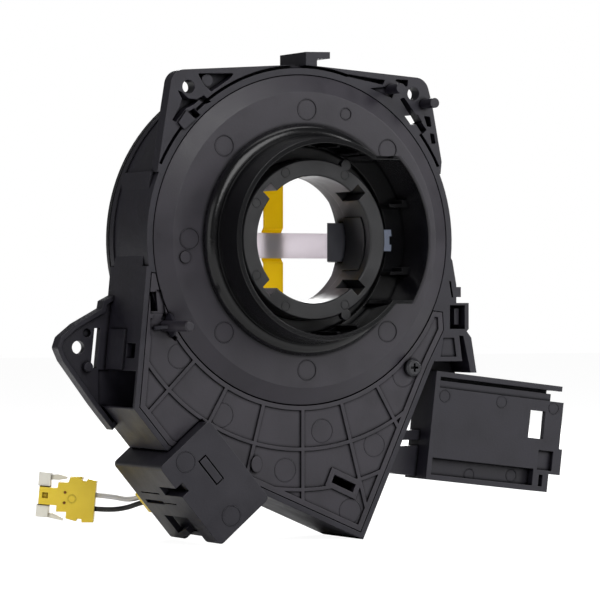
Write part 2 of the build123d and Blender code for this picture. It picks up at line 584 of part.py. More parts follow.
# Case: drum, lower box, ears and the hook on top, moulded as one
with BuildPart() as stator_case:
    with BuildSketch(facing(0)):
        Circle(DRUM_R)
        outline(BOX_OUTLINE)
    extrude(amount=-CASE_DEPTH)
    with BuildSketch(facing(CASE_DEPTH)):
        Circle(LIP_R)
    extrude(amount=LIP_DEPTH)
    # Flat side wall that runs up beside the drum
    with BuildSketch(facing(SIDE_WALL_REAR)):
        outline([SIDE_WALL_TOP, LEFT_TOP, (LEFT_TOP[0] + SIDE_WALL_T, LEFT_TOP[1] - SIDE_WALL_T),
                 (SIDE_WALL_TOP[0] + SIDE_WALL_T, SIDE_WALL_TOP[1])])
    extrude(amount=-(CASE_DEPTH - LIP_DEPTH - SIDE_WALL_REAR))
    # Ear frame across the top
    with BuildSketch(facing(0)):
        outline(EAR_OUTLINE, EAR_RADII)
    extrude(amount=-EAR_T)
    # Block and clip box on the right
    with BuildSketch(facing(0)):
        outline(BLOCK_OUTLINE)
        outline(BLOCK_TAB)
    extrude(amount=-BLOCK_DEPTH)
    # Left ear at the front
    with BuildSketch(facing(SIDE_EAR_REAR)):
        outline(SIDE_EAR_OUTLINE, SIDE_EAR_RADII)
    extrude(amount=-(CASE_DEPTH - SIDE_EAR_REAR))
    # Raised pad on the left wall beside the ear
    with BuildSketch(facing(SIDE_PAD_Y[0])):
        outline([(side_wall_x(z) + shift, z)
                 for z, shift in ((SIDE_PAD_Z[0], 1), (SIDE_PAD_Z[0], -SIDE_PAD_T),
                                  (SIDE_PAD_Z[1], -SIDE_PAD_T), (SIDE_PAD_Z[1], 1))])
    extrude(amount=-(SIDE_PAD_Y[1] - SIDE_PAD_Y[0]))
    # Hook rail on top
    with BuildSketch(facing(0)):
        outline(HOOK_OUTLINE)
    extrude(amount=-HOOK_DEPTH)
    # Switch tray: panel and walls, then its two channels, and the tongue and latch at its right end
    with BuildSketch(tilted(TRAY_CORNER, 0, TRAY_TILT)):
        block((0, TRAY_LEN), (-TRAY_H, 0))
    extrude(amount=-TRAY_DEPTH)
    with BuildSketch(tilted(TRAY_CORNER, TRAY_PANEL_T, TRAY_TILT)):
        block((TRAY_WALL, TRAY_LEN), (-TRAY_H + TRAY_LOW_BAND, -TRAY_TOP_BAND))
    extrude(amount=-(TRAY_DEPTH - TRAY_PANEL_T), mode=Mode.SUBTRACT)
    with BuildSketch(tilted(TRAY_CORNER, TRAY_BAND_T + TRAY_PANEL_T, TRAY_TILT)):
        block((TRAY_WALL, TRAY_LEN), (-TRAY_H + TRAY_WALL, -TRAY_WALL))
    extrude(amount=-(TRAY_DEPTH - TRAY_BAND_T - TRAY_PANEL_T), mode=Mode.SUBTRACT)
    with BuildSketch(tilted(TRAY_CORNER, 0, TRAY_TILT)):
        block((TRAY_WALL, TRAY_LEN), (-TRAY_TOP_BAND, -TRAY_WALL))
    extrude(amount=-TRAY_TOP_BAND_T, mode=Mode.SUBTRACT)
    with BuildSketch(tilted(TRAY_CORNER, 0, TRAY_TILT)):
        block((TRAY_WALL, TRAY_LEN), (-TRAY_GROOVE_LOW, -TRAY_WALL))
    extrude(amount=-TRAY_GROOVE_T, mode=Mode.SUBTRACT)
    with BuildSketch(tilted(TRAY_CORNER, 0, TRAY_TILT)):
        block((TRAY_WALL, TRAY_RIB_X[0]), (-TRAY_H + TRAY_WALL, -TRAY_H + TRAY_LOW_BAND))
        block(TRAY_SLOT_X, (-TRAY_H + TRAY_WALL, -TRAY_H + TRAY_LOW_BAND - TRAY_WALL))
    extrude(amount=-TRAY_BAND_T, mode=Mode.SUBTRACT)
    with BuildSketch(tilted(TRAY_CORNER, 0, TRAY_TILT)):
        block((TRAY_LEN - TRAY_WALL, TRAY_STRIP_END), (-TRAY_WALL, 0))
        block((TRAY_LEN - TRAY_WALL, TRAY_EAR_END), (-TRAY_EAR_LOW - TRAY_WALL, -TRAY_TOP_BAND))
    extrude(amount=-TRAY_PANEL_T)
    with BuildSketch(tilted(TRAY_CORNER, 0, TRAY_TILT)):
        block(TRAY_LATCH_X, TRAY_LATCH_Y)
    extrude(amount=-TRAY_LATCH_T)
    with BuildSketch(tilted(TRAY_CORNER, 0, TRAY_TILT)):
        block((TRAY_LATCH_X[0], TRAY_LATCH_X[1] - 2 * TRAY_WALL),
              (TRAY_LATCH_Y[0] + 1, TRAY_LATCH_Y[1] - 1))
    extrude(amount=-TRAY_LATCH_FLOOR, mode=Mode.SUBTRACT)
    with BuildSketch(tilted(TRAY_CORNER, 0, TRAY_TILT)):
        block(TRAY_WINDOW_X, TRAY_WINDOW_Y)
        block((TRAY_NOTCH_X, TRAY_EAR_END), (-TRAY_TOP_BAND, -TRAY_WALL))
    extrude(amount=-TRAY_DEPTH, mode=Mode.SUBTRACT)
    # Web and stub between tray and lower box, and the tie behind the right block
    with BuildSketch(facing(TRAY_WEB_Y[0])):
        outline(TRAY_STUB)
        outline(TRAY_WEB)
    extrude(amount=-(TRAY_WEB_Y[1] - TRAY_WEB_Y[0]))
    with BuildSketch(facing(TRAY_WEB_Y[1])):
        outline(TRAY_TIE)
    extrude(amount=-(BLOCK_DEPTH - TRAY_WEB_Y[1]))
    # Drum bore, the seat of the cover and the hollow of the lower box
    with BuildSketch(facing(0)):
        Circle(DRUM_IN_R)
    extrude(amount=-CASE_DEPTH, mode=Mode.SUBTRACT)
    with BuildSketch(facing(0)):
        outline(BOX_OUTLINE)
        offset(amount=-CASE_WALL, kind=Kind.INTERSECTION, mode=Mode.REPLACE)
    extrude(amount=-COVER_T, mode=Mode.SUBTRACT)
    with BuildSketch(facing(COVER_T)):
        outline(BOX_OUTLINE)
        offset(amount=-CASE_WALL, kind=Kind.INTERSECTION, mode=Mode.REPLACE)
        Circle(DRUM_R, mode=Mode.SUBTRACT)
    extrude(amount=-(CASE_DEPTH - COVER_T - CASE_WALL), mode=Mode.SUBTRACT)
    # Ledge that carries the cover's disc
    with BuildSketch(facing(COVER_T)):
        ring(DRUM_IN_R + 0.2, DRUM_IN_R - LEDGE_W)
    extrude(amount=-LEDGE_T)
    # Boss for the cover's screw
    with BuildSketch(facing(COVER_T)):
        with Locations(SCREW_AT):
            Circle(BOSS_R)
        Circle(DRUM_IN_R, mode=Mode.SUBTRACT)
    extrude(amount=-(BOSS_END - COVER_T))
    with BuildSketch(facing(COVER_T)):
        with Locations(SCREW_AT):
            Circle(SCREW_R + SCREW_GAP)
    extrude(amount=-SCREW_LEN, mode=Mode.SUBTRACT)
    # Window in the drum for the outer terminal block
    with BuildSketch(facing(RIBBON_REAR - FIT_GAP)):
        block((-END_BLOCK_W / 2 - FIT_GAP, END_BLOCK_W / 2 + FIT_GAP), (-DRUM_R - 1, -RIBBON_OUT_R))
    extrude(amount=-(END_BLOCK_D + 2 * FIT_GAP), mode=Mode.SUBTRACT)
    # Snap window and the large gap in the left wall, and the slots in the bottom wall
    with BuildSketch(Plane.YZ.offset(LEFT_LOW[0] - 1)):
        block(SIDE_WINDOW_Y, SIDE_WINDOW_Z)
        block(SIDE_GAP_Y, SIDE_GAP_Z)
    extrude(amount=SIDE_CUT_REACH, mode=Mode.SUBTRACT)
    bottom_run = Vector(BOTTOM_TIP[0] - BEVEL_LOW[0], 0, BOTTOM_TIP[1] - BEVEL_LOW[1]).normalized()
    bottom_wall = Plane(origin=(BOTTOM_TIP[0], 0, BOTTOM_TIP[1]), x_dir=bottom_run,
                        z_dir=bottom_run.cross(Vector(0, 1, 0)))
    with BuildSketch(bottom_wall):
        for middle, length in BOTTOM_SLOT_XS:
            centre = (middle - BOTTOM_TIP[0]) / bottom_run.X
            block((centre - length / 2, centre + length / 2), (-BOTTOM_SLOT_Y[0], -BOTTOM_SLOT_Y[1]))
    extrude(amount=2 * CASE_WALL, both=True, mode=Mode.SUBTRACT)
    # Groove between the ear frame and the drum
    with BuildSketch(facing(0)):
        for start, span in EAR_GROOVES:
            with BuildLine():
                outer_arc = CenterArc((0, 0), DRUM_R + EAR_GROOVE_W, start, span)
                inner_arc = CenterArc((0, 0), DRUM_R, start, span)
                Line(outer_arc @ 0, inner_arc @ 0)
                Line(outer_arc @ 1, inner_arc @ 1)
            make_face()
        outline(GROOVE_TAIL)
    extrude(amount=-(EAR_T - EAR_FLOOR), mode=Mode.SUBTRACT)
    # Pockets, clip cuts, window and screw holes of the top ears
    with BuildSketch(facing(0)):
        for points in EAR_POCKETS:
            outline(points, POCKET_CORNER_R)
        for points in CLIP_CUTS:
            outline(points)
        with Locations(EAR_BOSS):
            Circle(EAR_BOSS_R, mode=Mode.SUBTRACT)
    extrude(amount=-(EAR_T - EAR_FLOOR), mode=Mode.SUBTRACT)
    with BuildSketch(facing(0)):
        with Locations(EAR_BOSS):
            Circle(EAR_BOSS_R)
    extrude(amount=-EAR_BOSS_SUNK, mode=Mode.SUBTRACT)
    with BuildSketch(facing(0)):
        outline(EAR_RECESS)
    extrude(amount=-EAR_RECESS_T, mode=Mode.SUBTRACT)
    with BuildSketch(facing(-CLIP_HOOK_T)):
        outline(CLIP_HOOK)
    extrude(amount=-2 * CLIP_HOOK_T)
    with BuildSketch(facing(0)):
        outline(EAR_WINDOW)
        with Locations((-EAR_HOLE_X, EAR_HOLE_Z), (EAR_HOLE_X, EAR_HOLE_Z)):
            Circle(EAR_HOLE_R)
    extrude(amount=-EAR_T, mode=Mode.SUBTRACT)
    # Locating pins at the upper right
    with BuildSketch(facing(0)):
        with Locations(*TOP_PINS):
            Circle(PIN_R)
    extrude(amount=PIN_REACH)
    # Clip box, trapeze recess and slot of the right block
    with BuildSketch(facing(0)):
        outline(CLIP_POCKET)
        outline(CLIP_TONGUE, mode=Mode.SUBTRACT)
        outline(SIDE_SLOT)
    extrude(amount=-CLIP_POCKET_T, mode=Mode.SUBTRACT)
    with BuildSketch(facing(0)):
        outline(CLIP_TONGUE)
    extrude(amount=-(CLIP_POCKET_T - CLIP_TONGUE_T), mode=Mode.SUBTRACT)
    with BuildSketch(facing(0)):
        outline(TRAPEZE)
    extrude(amount=-TRAPEZE_T, mode=Mode.SUBTRACT)
    with BuildSketch(facing(0)):
        outline(BLOCK_GROOVE)
    extrude(amount=-BLOCK_GROOVE_T, mode=Mode.SUBTRACT)
    # Left ear: sunk floor, screw hole, slot and dimple
    with BuildSketch(facing(SIDE_EAR_REAR)):
        outline(SIDE_EAR_OUTLINE, SIDE_EAR_RADII)
        offset(amount=-SIDE_EAR_BORDER, kind=Kind.INTERSECTION, mode=Mode.REPLACE)
        outline(BOX_OUTLINE, mode=Mode.SUBTRACT)
        with Locations(SIDE_EAR_BOSS):
            Circle(SIDE_EAR_BOSS_R, mode=Mode.SUBTRACT)
    extrude(amount=-(SIDE_EAR_FLOOR - SIDE_EAR_REAR), mode=Mode.SUBTRACT)
    with BuildSketch(facing(SIDE_EAR_REAR)):
        with Locations(SIDE_EAR_HOLE):
            Circle(EAR_HOLE_R)
        outline(SIDE_EAR_SLOT)
    extrude(amount=-(CASE_DEPTH - SIDE_EAR_REAR), mode=Mode.SUBTRACT)
    with BuildSketch(facing(SIDE_EAR_FLOOR)):
        with Locations(SIDE_EAR_DIMPLE):
            Circle(SIDE_EAR_DIMPLE_R)
    extrude(amount=-SIDE_EAR_DIMPLE_T, mode=Mode.SUBTRACT)
    # Room for the harness socket
    with BuildSketch(tilted(SHROUD_CENTRE, 0, SHROUD_TILT)):
        Rectangle(SHROUD_LEN + 2 * FIT_GAP, SHROUD_W + 2 * FIT_GAP)
    extrude(amount=-CASE_DEPTH, mode=Mode.SUBTRACT)
finish(stator_case, "stator_case")

# Screw that holds the cover to the case
with BuildPart() as cover_screw:
    with BuildSketch(facing(-SCREW_HEAD_T)):
        with Locations(SCREW_AT):
            Circle(SCREW_HEAD_R)
    extrude(amount=-SCREW_HEAD_T)
    chamfer(cover_screw.faces().sort_by(Axis.Y)[0].edges(), SCREW_EDGE)
    with BuildSketch(facing(0)):
        with Locations(SCREW_AT):
            Circle(SCREW_R)
    extrude(amount=-SCREW_LEN)
    with BuildSketch(facing(-SCREW_HEAD_T)):
        with Locations(SCREW_AT):
            Rectangle(SCREW_DRIVE, SCREW_DRIVE_W)
            Rectangle(SCREW_DRIVE_W, SCREW_DRIVE)
    extrude(amount=-(SCREW_HEAD_T - 0.4), mode=Mode.SUBTRACT)
finish(cover_screw, "cover_screw")

# Harness socket, open towards the wheel side
with BuildPart() as harness_socket:
    with BuildSketch(tilted(SHROUD_CENTRE, SHROUD_REAR, SHROUD_TILT)):
        RectangleRounded(SHROUD_LEN, SHROUD_W, SHROUD_CORNER_R)
    extrude(amount=-SHROUD_DEPTH)
    with BuildSketch(tilted(SHROUD_CENTRE, SHROUD_REAR + SHROUD_WALL, SHROUD_TILT)):
        Rectangle(SHROUD_LEN - 2 * SHROUD_WALL, SHROUD_W - 2 * SHROUD_WALL)
    extrude(amount=-(SHROUD_DEPTH - SHROUD_WALL), mode=Mode.SUBTRACT)
    # Raised bar on the rear face, and the cuts in the lower left wall
    with BuildSketch(tilted(SHROUD_CENTRE, SHROUD_REAR - SHROUD_BAR_T, SHROUD_TILT)):
        with Locations(SHROUD_BAR):
            Rectangle(SHROUD_BAR_LEN, SHROUD_BAR_W)
    extrude(amount=-2 * SHROUD_BAR_T)
    wall_plane = tilted(SHROUD_CENTRE, 0, SHROUD_TILT).rotated((90, 0, 0))
    with BuildSketch(wall_plane.offset(SHROUD_W / 2)):
        for points in (SHROUD_NOTCH, *SHROUD_SLITS, SHROUD_WINDOW):
            outline([(along, -depth) for along, depth in points])
    extrude(amount=-1.5 * SHROUD_WALL, mode=Mode.SUBTRACT)
finish(harness_socket, "harness_socket")

# Blade terminals of the harness socket
with BuildPart() as harness_terminals:
    with BuildSketch(tilted(SHROUD_CENTRE, SHROUD_REAR + SHROUD_WALL, SHROUD_TILT)):
        with Locations((HARNESS_PIN_X, 0)):
            with GridLocations(HARNESS_PIN_PITCH * 2, HARNESS_PIN_PITCH, 2, HARNESS_PIN_COLS):
                Rectangle(HARNESS_PIN_W, HARNESS_PIN_W)
    extrude(amount=-HARNESS_PIN_LEN)
finish(harness_terminals, "harness_terminals")

# Yellow insert of the airbag lead
with BuildPart() as lead_insert:
    with BuildSketch(tilted(SHROUD_CENTRE, SHROUD_REAR + SHROUD_WALL, SHROUD_TILT)):
        block(INSERT_X, INSERT_Y)
    extrude(amount=-(INSERT_FRONT - SHROUD_REAR - SHROUD_WALL))
finish(lead_insert, "lead_insert")

# Rotor: front flange with its hub
with BuildPart() as rotor_hub:
    with BuildSketch(Plane.XY):
        with BuildLine():
            Polyline((SLEEVE_R + SNAP_GAP, HUB_REAR), (HUB_NECK_R, HUB_REAR), (HUB_NECK_R, HUB_SHOULDER),
                     (HUB_R, HUB_SHOULDER), (HUB_R, FLANGE_REAR), (LIP_R, FLANGE_REAR), (LIP_R, FLANGE_FRONT),
                     (HUB_IN_R + HUB_RING_W, FLANGE_FRONT),
                     (HUB_IN_R + HUB_RING_W, FLANGE_FRONT + HUB_RING_T),
                     (HUB_IN_R, FLANGE_FRONT + HUB_RING_T), (HUB_IN_R, HUB_FLOOR_FRONT),
                     (RELIEF_R + HUB_STEP, HUB_FLOOR_FRONT), (RELIEF_R + HUB_STEP, SLEEVE_FRONT + SNAP_GAP),
                     (SLEEVE_R + SNAP_GAP, SLEEVE_FRONT + SNAP_GAP), close=True)
        make_face()
    revolve(axis=Axis.Y)
    with BuildSketch(facing(HUB_REAR)):
        inner_block_outline(INNER_BLOCK_X, INNER_BLOCK_H, FIT_GAP)
    extrude(amount=-(INNER_BLOCK_FRONT - HUB_REAR), mode=Mode.SUBTRACT)
    # Pegs that drive the rotor from the wheel
    with BuildSketch(facing(FLANGE_FRONT)):
        with Locations((-DRIVE_PEG_CIRCLE_R, 0), (DRIVE_PEG_CIRCLE_R, 0)):
            Circle(DRIVE_PEG_R)
    extrude(amount=-DRIVE_PEG_REACH)
    # Stiffening ribs on the flange
    with BuildSketch(facing(FLANGE_FRONT)):
        for index in range(FLANGE_RIB_COUNT):
            angle = (index + 0.5) * 360 / FLANGE_RIB_COUNT
            if abs(angle - 90) > 20:
                with Locations(Location(polar(HUB_IN_R + HUB_RING_W - 0.5, angle), angle)):
                    Rectangle(LIP_R - HUB_IN_R - HUB_RING_W - 1, FLANGE_RIB_T,
                              align=(Align.MIN, Align.CENTER))
    extrude(amount=-FLANGE_RIB_H)
finish(rotor_hub, "rotor_hub")

# Pale block on the hub's rear face, where the ribbon's inner end comes out
with BuildPart() as inner_terminal_block:
    with BuildSketch(facing(INNER_BLOCK_REAR)):
        inner_block_outline(INNER_BLOCK_X, INNER_BLOCK_H, 0)
        block((INNER_BLOCK_X[1] - INNER_BLOCK_NOTCH, INNER_BLOCK_X[1] + 1),
              (-INNER_BLOCK_NOTCH_H / 2, INNER_BLOCK_NOTCH_H / 2), mode=Mode.SUBTRACT)
    extrude(amount=-(INNER_BLOCK_FRONT - INNER_BLOCK_REAR))
finish(inner_terminal_block, "inner_terminal_block")

# Rear sleeve of the rotor, which drives the column switch
with BuildPart() as rotor_sleeve:
    with BuildSketch(Plane.XY):
        outline([(BORE_R + SLEEVE_EDGE, -SLEEVE_REACH), (SLEEVE_R - SLEEVE_EDGE, -SLEEVE_REACH),
                 (SLEEVE_R, -SLEEVE_REACH + SLEEVE_EDGE), (SLEEVE_R, SLEEVE_FRONT), (RELIEF_R, SLEEVE_FRONT),
                 (RELIEF_R, -SLEEVE_REACH + BORE_LEN), (BORE_R, -SLEEVE_REACH + BORE_LEN),
                 (BORE_R, -SLEEVE_REACH + SLEEVE_EDGE)])
    revolve(axis=Axis.Y)
    with BuildSketch(facing(-SLEEVE_REACH)):
        with Locations(*[polar(LUG_CIRCLE_R, angle) for angle in LUG_ANGLES]):
            Circle(LUG_R)
        Circle(SLEEVE_R - 1, mode=Mode.SUBTRACT)
    extrude(amount=-LUG_T)
    with BuildSketch(facing(-SLEEVE_REACH)):
        for angle in NOTCH_ANGLES:
            with Locations(Location(polar(BORE_R - 2, angle), angle)):
                Rectangle(NOTCH_R - BORE_R + 2, NOTCH_W, align=(Align.MIN, Align.CENTER))
    extrude(amount=-NOTCH_DEPTH, mode=Mode.SUBTRACT)
finish(rotor_sleeve, "rotor_sleeve")

# Socket for the wheel's wiring on the front of the rotor, and its pins
with BuildPart() as wheel_socket:
    with BuildSketch(facing(FLANGE_FRONT)):
        with Locations((0, WHEEL_SOCKET_Z)):
            Rectangle(WHEEL_SOCKET_L, WHEEL_SOCKET_H)
    extrude(amount=-WHEEL_SOCKET_T)
    with BuildSketch(facing(FLANGE_FRONT + WHEEL_SOCKET_WALL)):
        with Locations((0, WHEEL_SOCKET_Z)):
            Rectangle(WHEEL_SOCKET_L - 2 * WHEEL_SOCKET_WALL, WHEEL_SOCKET_H - 2 * WHEEL_SOCKET_WALL)
    extrude(amount=-WHEEL_SOCKET_T, mode=Mode.SUBTRACT)
finish(wheel_socket, "wheel_socket")

with BuildPart() as wheel_socket_pins:
    with BuildSketch(facing(FLANGE_FRONT + WHEEL_SOCKET_WALL)):
        with Locations((0, WHEEL_SOCKET_Z)):
            with GridLocations(WHEEL_PIN_PITCH, WHEEL_PIN_PITCH, WHEEL_PIN_COUNT, 1):
                Rectangle(WHEEL_PIN_W, WHEEL_PIN_W)
    extrude(amount=-WHEEL_PIN_LEN)
finish(wheel_socket_pins, "wheel_socket_pins")

# Ribbon cable: one flat cable wound in a spiral between hub and drum
with BuildPart() as ribbon_cable:
    with BuildSketch(facing(RIBBON_REAR)):
        with BuildLine() as ribbon_path:
            pitch = (RIBBON_OUT_R - RIBBON_IN_R) / RIBBON_TURNS
            for index in range(2 * RIBBON_TURNS):
                radius = RIBBON_IN_R + index * pitch / 2
                shift = (pitch / 4) * (1 if index % 2 == 0 else -1)
                CenterArc((shift - pitch / 4, 0), radius + pitch / 4, 180 * (index % 2), 180)
        trace(line_width=RIBBON_T)
    extrude(amount=-RIBBON_W)
finish(ribbon_cable, "ribbon_cable")

# Block on the drum that takes the ribbon's outer end to the harness terminals
with BuildPart() as outer_terminal_block:
    with BuildSketch(facing(RIBBON_REAR)):
        block((-END_BLOCK_W / 2, END_BLOCK_W / 2), (END_BLOCK_LOW, -RIBBON_OUT_R))
        Circle(RIBBON_OUT_R + RIBBON_T, mode=Mode.SUBTRACT)
    extrude(amount=-END_BLOCK_D)
finish(outer_terminal_block, "outer_terminal_block")

# Low-friction ring on the flange, on which the ribbon's edge slides
with BuildPart() as slider_ring:
    with BuildSketch(facing(FLANGE_REAR - SLIDER_T)):
        ring(SLIDER_OUT_R, SLIDER_IN_R)
    extrude(amount=-SLIDER_T)
finish(slider_ring, "slider_ring")

# Transport lock: grey block in the bore, white strap across the hub and yellow tape over it
STRAP_REAR = FLANGE_FRONT + HUB_RING_T
with BuildPart() as lock_block:
    with BuildSketch(facing(LOCK_REAR)):
        block((LOCK_BLOCK_X, RELIEF_R), (LOCK_BLOCK_LOW, LOCK_BLOCK_TOP))
        Circle(RELIEF_R - LOCK_GAP, mode=Mode.INTERSECT)
    extrude(amount=-(STRAP_REAR - LOCK_REAR))
    with BuildSketch(facing(HUB_FLOOR_FRONT + LOCK_GAP)):
        block((LOCK_HOOK_X, HUB_IN_R), (LOCK_BLOCK_LOW, LOCK_BLOCK_TOP))
        Circle(HUB_IN_R - LOCK_GAP, mode=Mode.INTERSECT)
    extrude(amount=-(STRAP_REAR - HUB_FLOOR_FRONT - LOCK_GAP))
    # Its left side slants away, so that only the rear end shows from the column side
    with BuildSketch(Plane.XY.offset(LOCK_BLOCK_LOW)):
        outline([(LOCK_BLOCK_X, LOCK_REAR), (LOCK_STRAP_X, STRAP_REAR), (0, STRAP_REAR), (0, LOCK_REAR)])
    extrude(amount=LOCK_BLOCK_TOP - LOCK_BLOCK_LOW, mode=Mode.SUBTRACT)
finish(lock_block, "lock_block")

with BuildPart() as lock_strap:
    with BuildSketch(facing(STRAP_REAR)):
        block((-STRAP_HALF, STRAP_HALF), (STRAP_LOW, STRAP_TOP))
    extrude(amount=-STRAP_T)
finish(lock_strap, "lock_strap")

with BuildPart() as lock_tape:
    with BuildSketch(Plane.YZ.offset(TAPE_X[0])):
        low, high = STRAP_REAR + TAPE_T / 2, STRAP_REAR + STRAP_T + TAPE_T / 2
        with BuildLine():
            Polyline((low, -TAPE_HALF), (low, STRAP_LOW - TAPE_STEP), (high, STRAP_LOW - TAPE_T),
                     (high, STRAP_TOP + TAPE_T), (low, STRAP_TOP + TAPE_STEP), (low, TAPE_HALF))
        trace(line_width=TAPE_T)
    extrude(amount=TAPE_X[1] - TAPE_X[0])
finish(lock_tape, "lock_tape")

# Airbag plug: body, neck and nose, with the leads entering from the right
PLUG_FACE = plug_plane().offset(PLUG_T / 2)
PLUG_END_FACE = Plane(origin=PLUG_END, x_dir=-plug_plane().z_dir, z_dir=plug_plane().x_dir)
with BuildPart() as airbag_plug:
    with BuildSketch(PLUG_FACE):
        outline(PLUG_OUTLINE)
    extrude(amount=-PLUG_T)
    with BuildSketch(PLUG_FACE):
        with Locations(PLUG_HOLE):
            Rectangle(PLUG_HOLE_W, PLUG_HOLE_W)
    extrude(amount=-PLUG_HOLE_T, mode=Mode.SUBTRACT)
    with BuildSketch(PLUG_END_FACE):
        with Locations((0, WHITE_LEAD_Y), (0, BLACK_LEAD_Y)):
            Circle(TERMINAL_R + SNAP_GAP)
    extrude(amount=-TERMINAL_LEN - SNAP_GAP, mode=Mode.SUBTRACT)
finish(airbag_plug, "airbag_plug")

# Terminals crimped to the leads inside the plug
with BuildPart() as plug_terminals:
    with BuildSketch(PLUG_END_FACE):
        with Locations((0, WHITE_LEAD_Y), (0, BLACK_LEAD_Y)):
            Circle(TERMINAL_R)
    extrude(amount=-TERMINAL_LEN)
finish(plug_terminals, "plug_terminals")

# Grey lock of the plug: two cheeks with fingers beside the nose, joined by a plate behind it
with BuildPart() as plug_lock:
    with BuildSketch(PLUG_FACE.offset(-PLUG_LOCK_FACE)):
        block(PLUG_LOCK_X, PLUG_LOCK_Y)
        block(PLUG_LOCK_X, (PLUG_LOCK_NOSE[0] - PLUG_LOCK_GAP, PLUG_LOCK_NOSE[1] + PLUG_LOCK_GAP),
              mode=Mode.SUBTRACT)
    extrude(amount=-(PLUG_T + PLUG_LOCK_GAP - PLUG_LOCK_FACE))
    with BuildSketch(PLUG_FACE.offset(-PLUG_T - PLUG_LOCK_GAP)):
        block(PLUG_LOCK_X, PLUG_LOCK_Y)
    extrude(amount=-PLUG_LOCK_BACK_T)
    with BuildSketch(PLUG_FACE.offset(-PLUG_LOCK_FACE - PLUG_LOCK_FINGER_T)):
        for points in PLUG_LOCK_FINGERS:
            outline(points)
    extrude(amount=-PLUG_LOCK_FINGER_T)
finish(plug_lock, "plug_lock")

# The two leads from the insert to the plug
for lead_name, places, last_run, height in (("white_lead", WHITE_ROUTE, LEAD_LAST_RUNS[0], WHITE_LEAD_Y),
                                            ("black_lead", BLACK_ROUTE, LEAD_LAST_RUNS[1], BLACK_LEAD_Y)):
    route = [*places, plug_point(last_run, height), plug_point(0, height)]
    with BuildPart() as lead:
        with BuildLine() as lead_path:
            FilletPolyline(*route, radius=bend_radii(route))
        with BuildSketch(Plane(origin=lead_path.line @ 0, z_dir=lead_path.line % 0)):
            Circle(LEAD_R)
        sweep()
    finish(lead, lead_name)
    length = lead_path.wire().length
    print(lead_name, "length", round(length, 1), "radii", [round(radius, 1) for radius in bend_radii(route)],
          "volume ratio", round(lead.part.volume / (math.pi * LEAD_R**2 * length), 4))
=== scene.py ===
"""Blender model of a steering clock spring: finishes, small parts, leads and studio round its CAD frame."""
import logging
import math
from dataclasses import dataclass, field
from enum import Enum
from functools import cache

import bmesh
import bpy
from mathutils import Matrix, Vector


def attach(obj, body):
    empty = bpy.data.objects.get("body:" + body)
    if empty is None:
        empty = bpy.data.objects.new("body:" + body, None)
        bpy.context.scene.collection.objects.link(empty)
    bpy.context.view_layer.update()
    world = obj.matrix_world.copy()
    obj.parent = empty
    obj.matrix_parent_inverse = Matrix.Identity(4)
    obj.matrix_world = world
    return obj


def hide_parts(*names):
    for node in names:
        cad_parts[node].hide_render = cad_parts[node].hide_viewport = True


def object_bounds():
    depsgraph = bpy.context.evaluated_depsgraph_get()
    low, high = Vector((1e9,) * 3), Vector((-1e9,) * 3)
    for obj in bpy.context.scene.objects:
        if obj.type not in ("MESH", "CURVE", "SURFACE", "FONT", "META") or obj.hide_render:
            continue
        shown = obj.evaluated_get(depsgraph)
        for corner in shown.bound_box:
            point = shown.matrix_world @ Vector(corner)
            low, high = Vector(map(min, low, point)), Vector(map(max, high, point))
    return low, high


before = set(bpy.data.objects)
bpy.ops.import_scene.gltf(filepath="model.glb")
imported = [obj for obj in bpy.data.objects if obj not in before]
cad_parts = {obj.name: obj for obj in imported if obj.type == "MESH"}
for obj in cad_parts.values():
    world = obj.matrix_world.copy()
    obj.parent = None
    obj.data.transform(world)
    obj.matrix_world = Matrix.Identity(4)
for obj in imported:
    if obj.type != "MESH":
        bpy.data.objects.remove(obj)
CAD_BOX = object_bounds()

log = logging.getLogger("clock_spring")
Pair = tuple[float, float]
Triple = tuple[float, float, float]
Sides = tuple[float, float, float, float]
MM = 0.001
WHITE = (1.0, 1.0, 1.0, 1.0)
SMOOTH_ANGLE_DEG = 28      # edges that turn by more than this stay sharp
DEPTH_RAY_START = -0.06    # Y behind the whole column side, in metres


class Cut(Enum):
    """What a tool mesh does to the piece that it is set against."""

    JOIN = "UNION"
    TAKE_AWAY = "DIFFERENCE"


def linear(hex_colour: str) -> tuple[float, float, float, float]:
    """Turn an sRGB hex colour into linear values.

    Args:
        hex_colour: six hex digits, such as "1f1f22".

    Returns:
        Red, green, blue and alpha, each from 0 to 1.
    """
    channels = [int(hex_colour[start:start + 2], 16) / 255 for start in (0, 2, 4)]
    values = [c / 12.92 if c <= 0.04045 else ((c + 0.055) / 1.055) ** 2.4 for c in channels]
    return values[0], values[1], values[2], 1.0


def add_node(tree: bpy.types.NodeTree, kind: str, settings: dict | None = None,
             inputs: dict | None = None) -> bpy.types.Node:
    """Add a node, set its properties, and set or link its inputs.

    Args:
        tree: node tree that gets the node.
        kind: the node's type name.
        settings: property names and values.
        inputs: socket names or numbers, each with a value or with the output socket to link.

    Returns:
        The new node.
    """
    made = tree.nodes.new(kind)
    for key, value in (settings or {}).items():
        setattr(made, key, value)
    for key, value in (inputs or {}).items():
        if isinstance(value, bpy.types.NodeSocket):
            tree.links.new(value, made.inputs[key])
        else:
            made.inputs[key].default_value = value
    return made


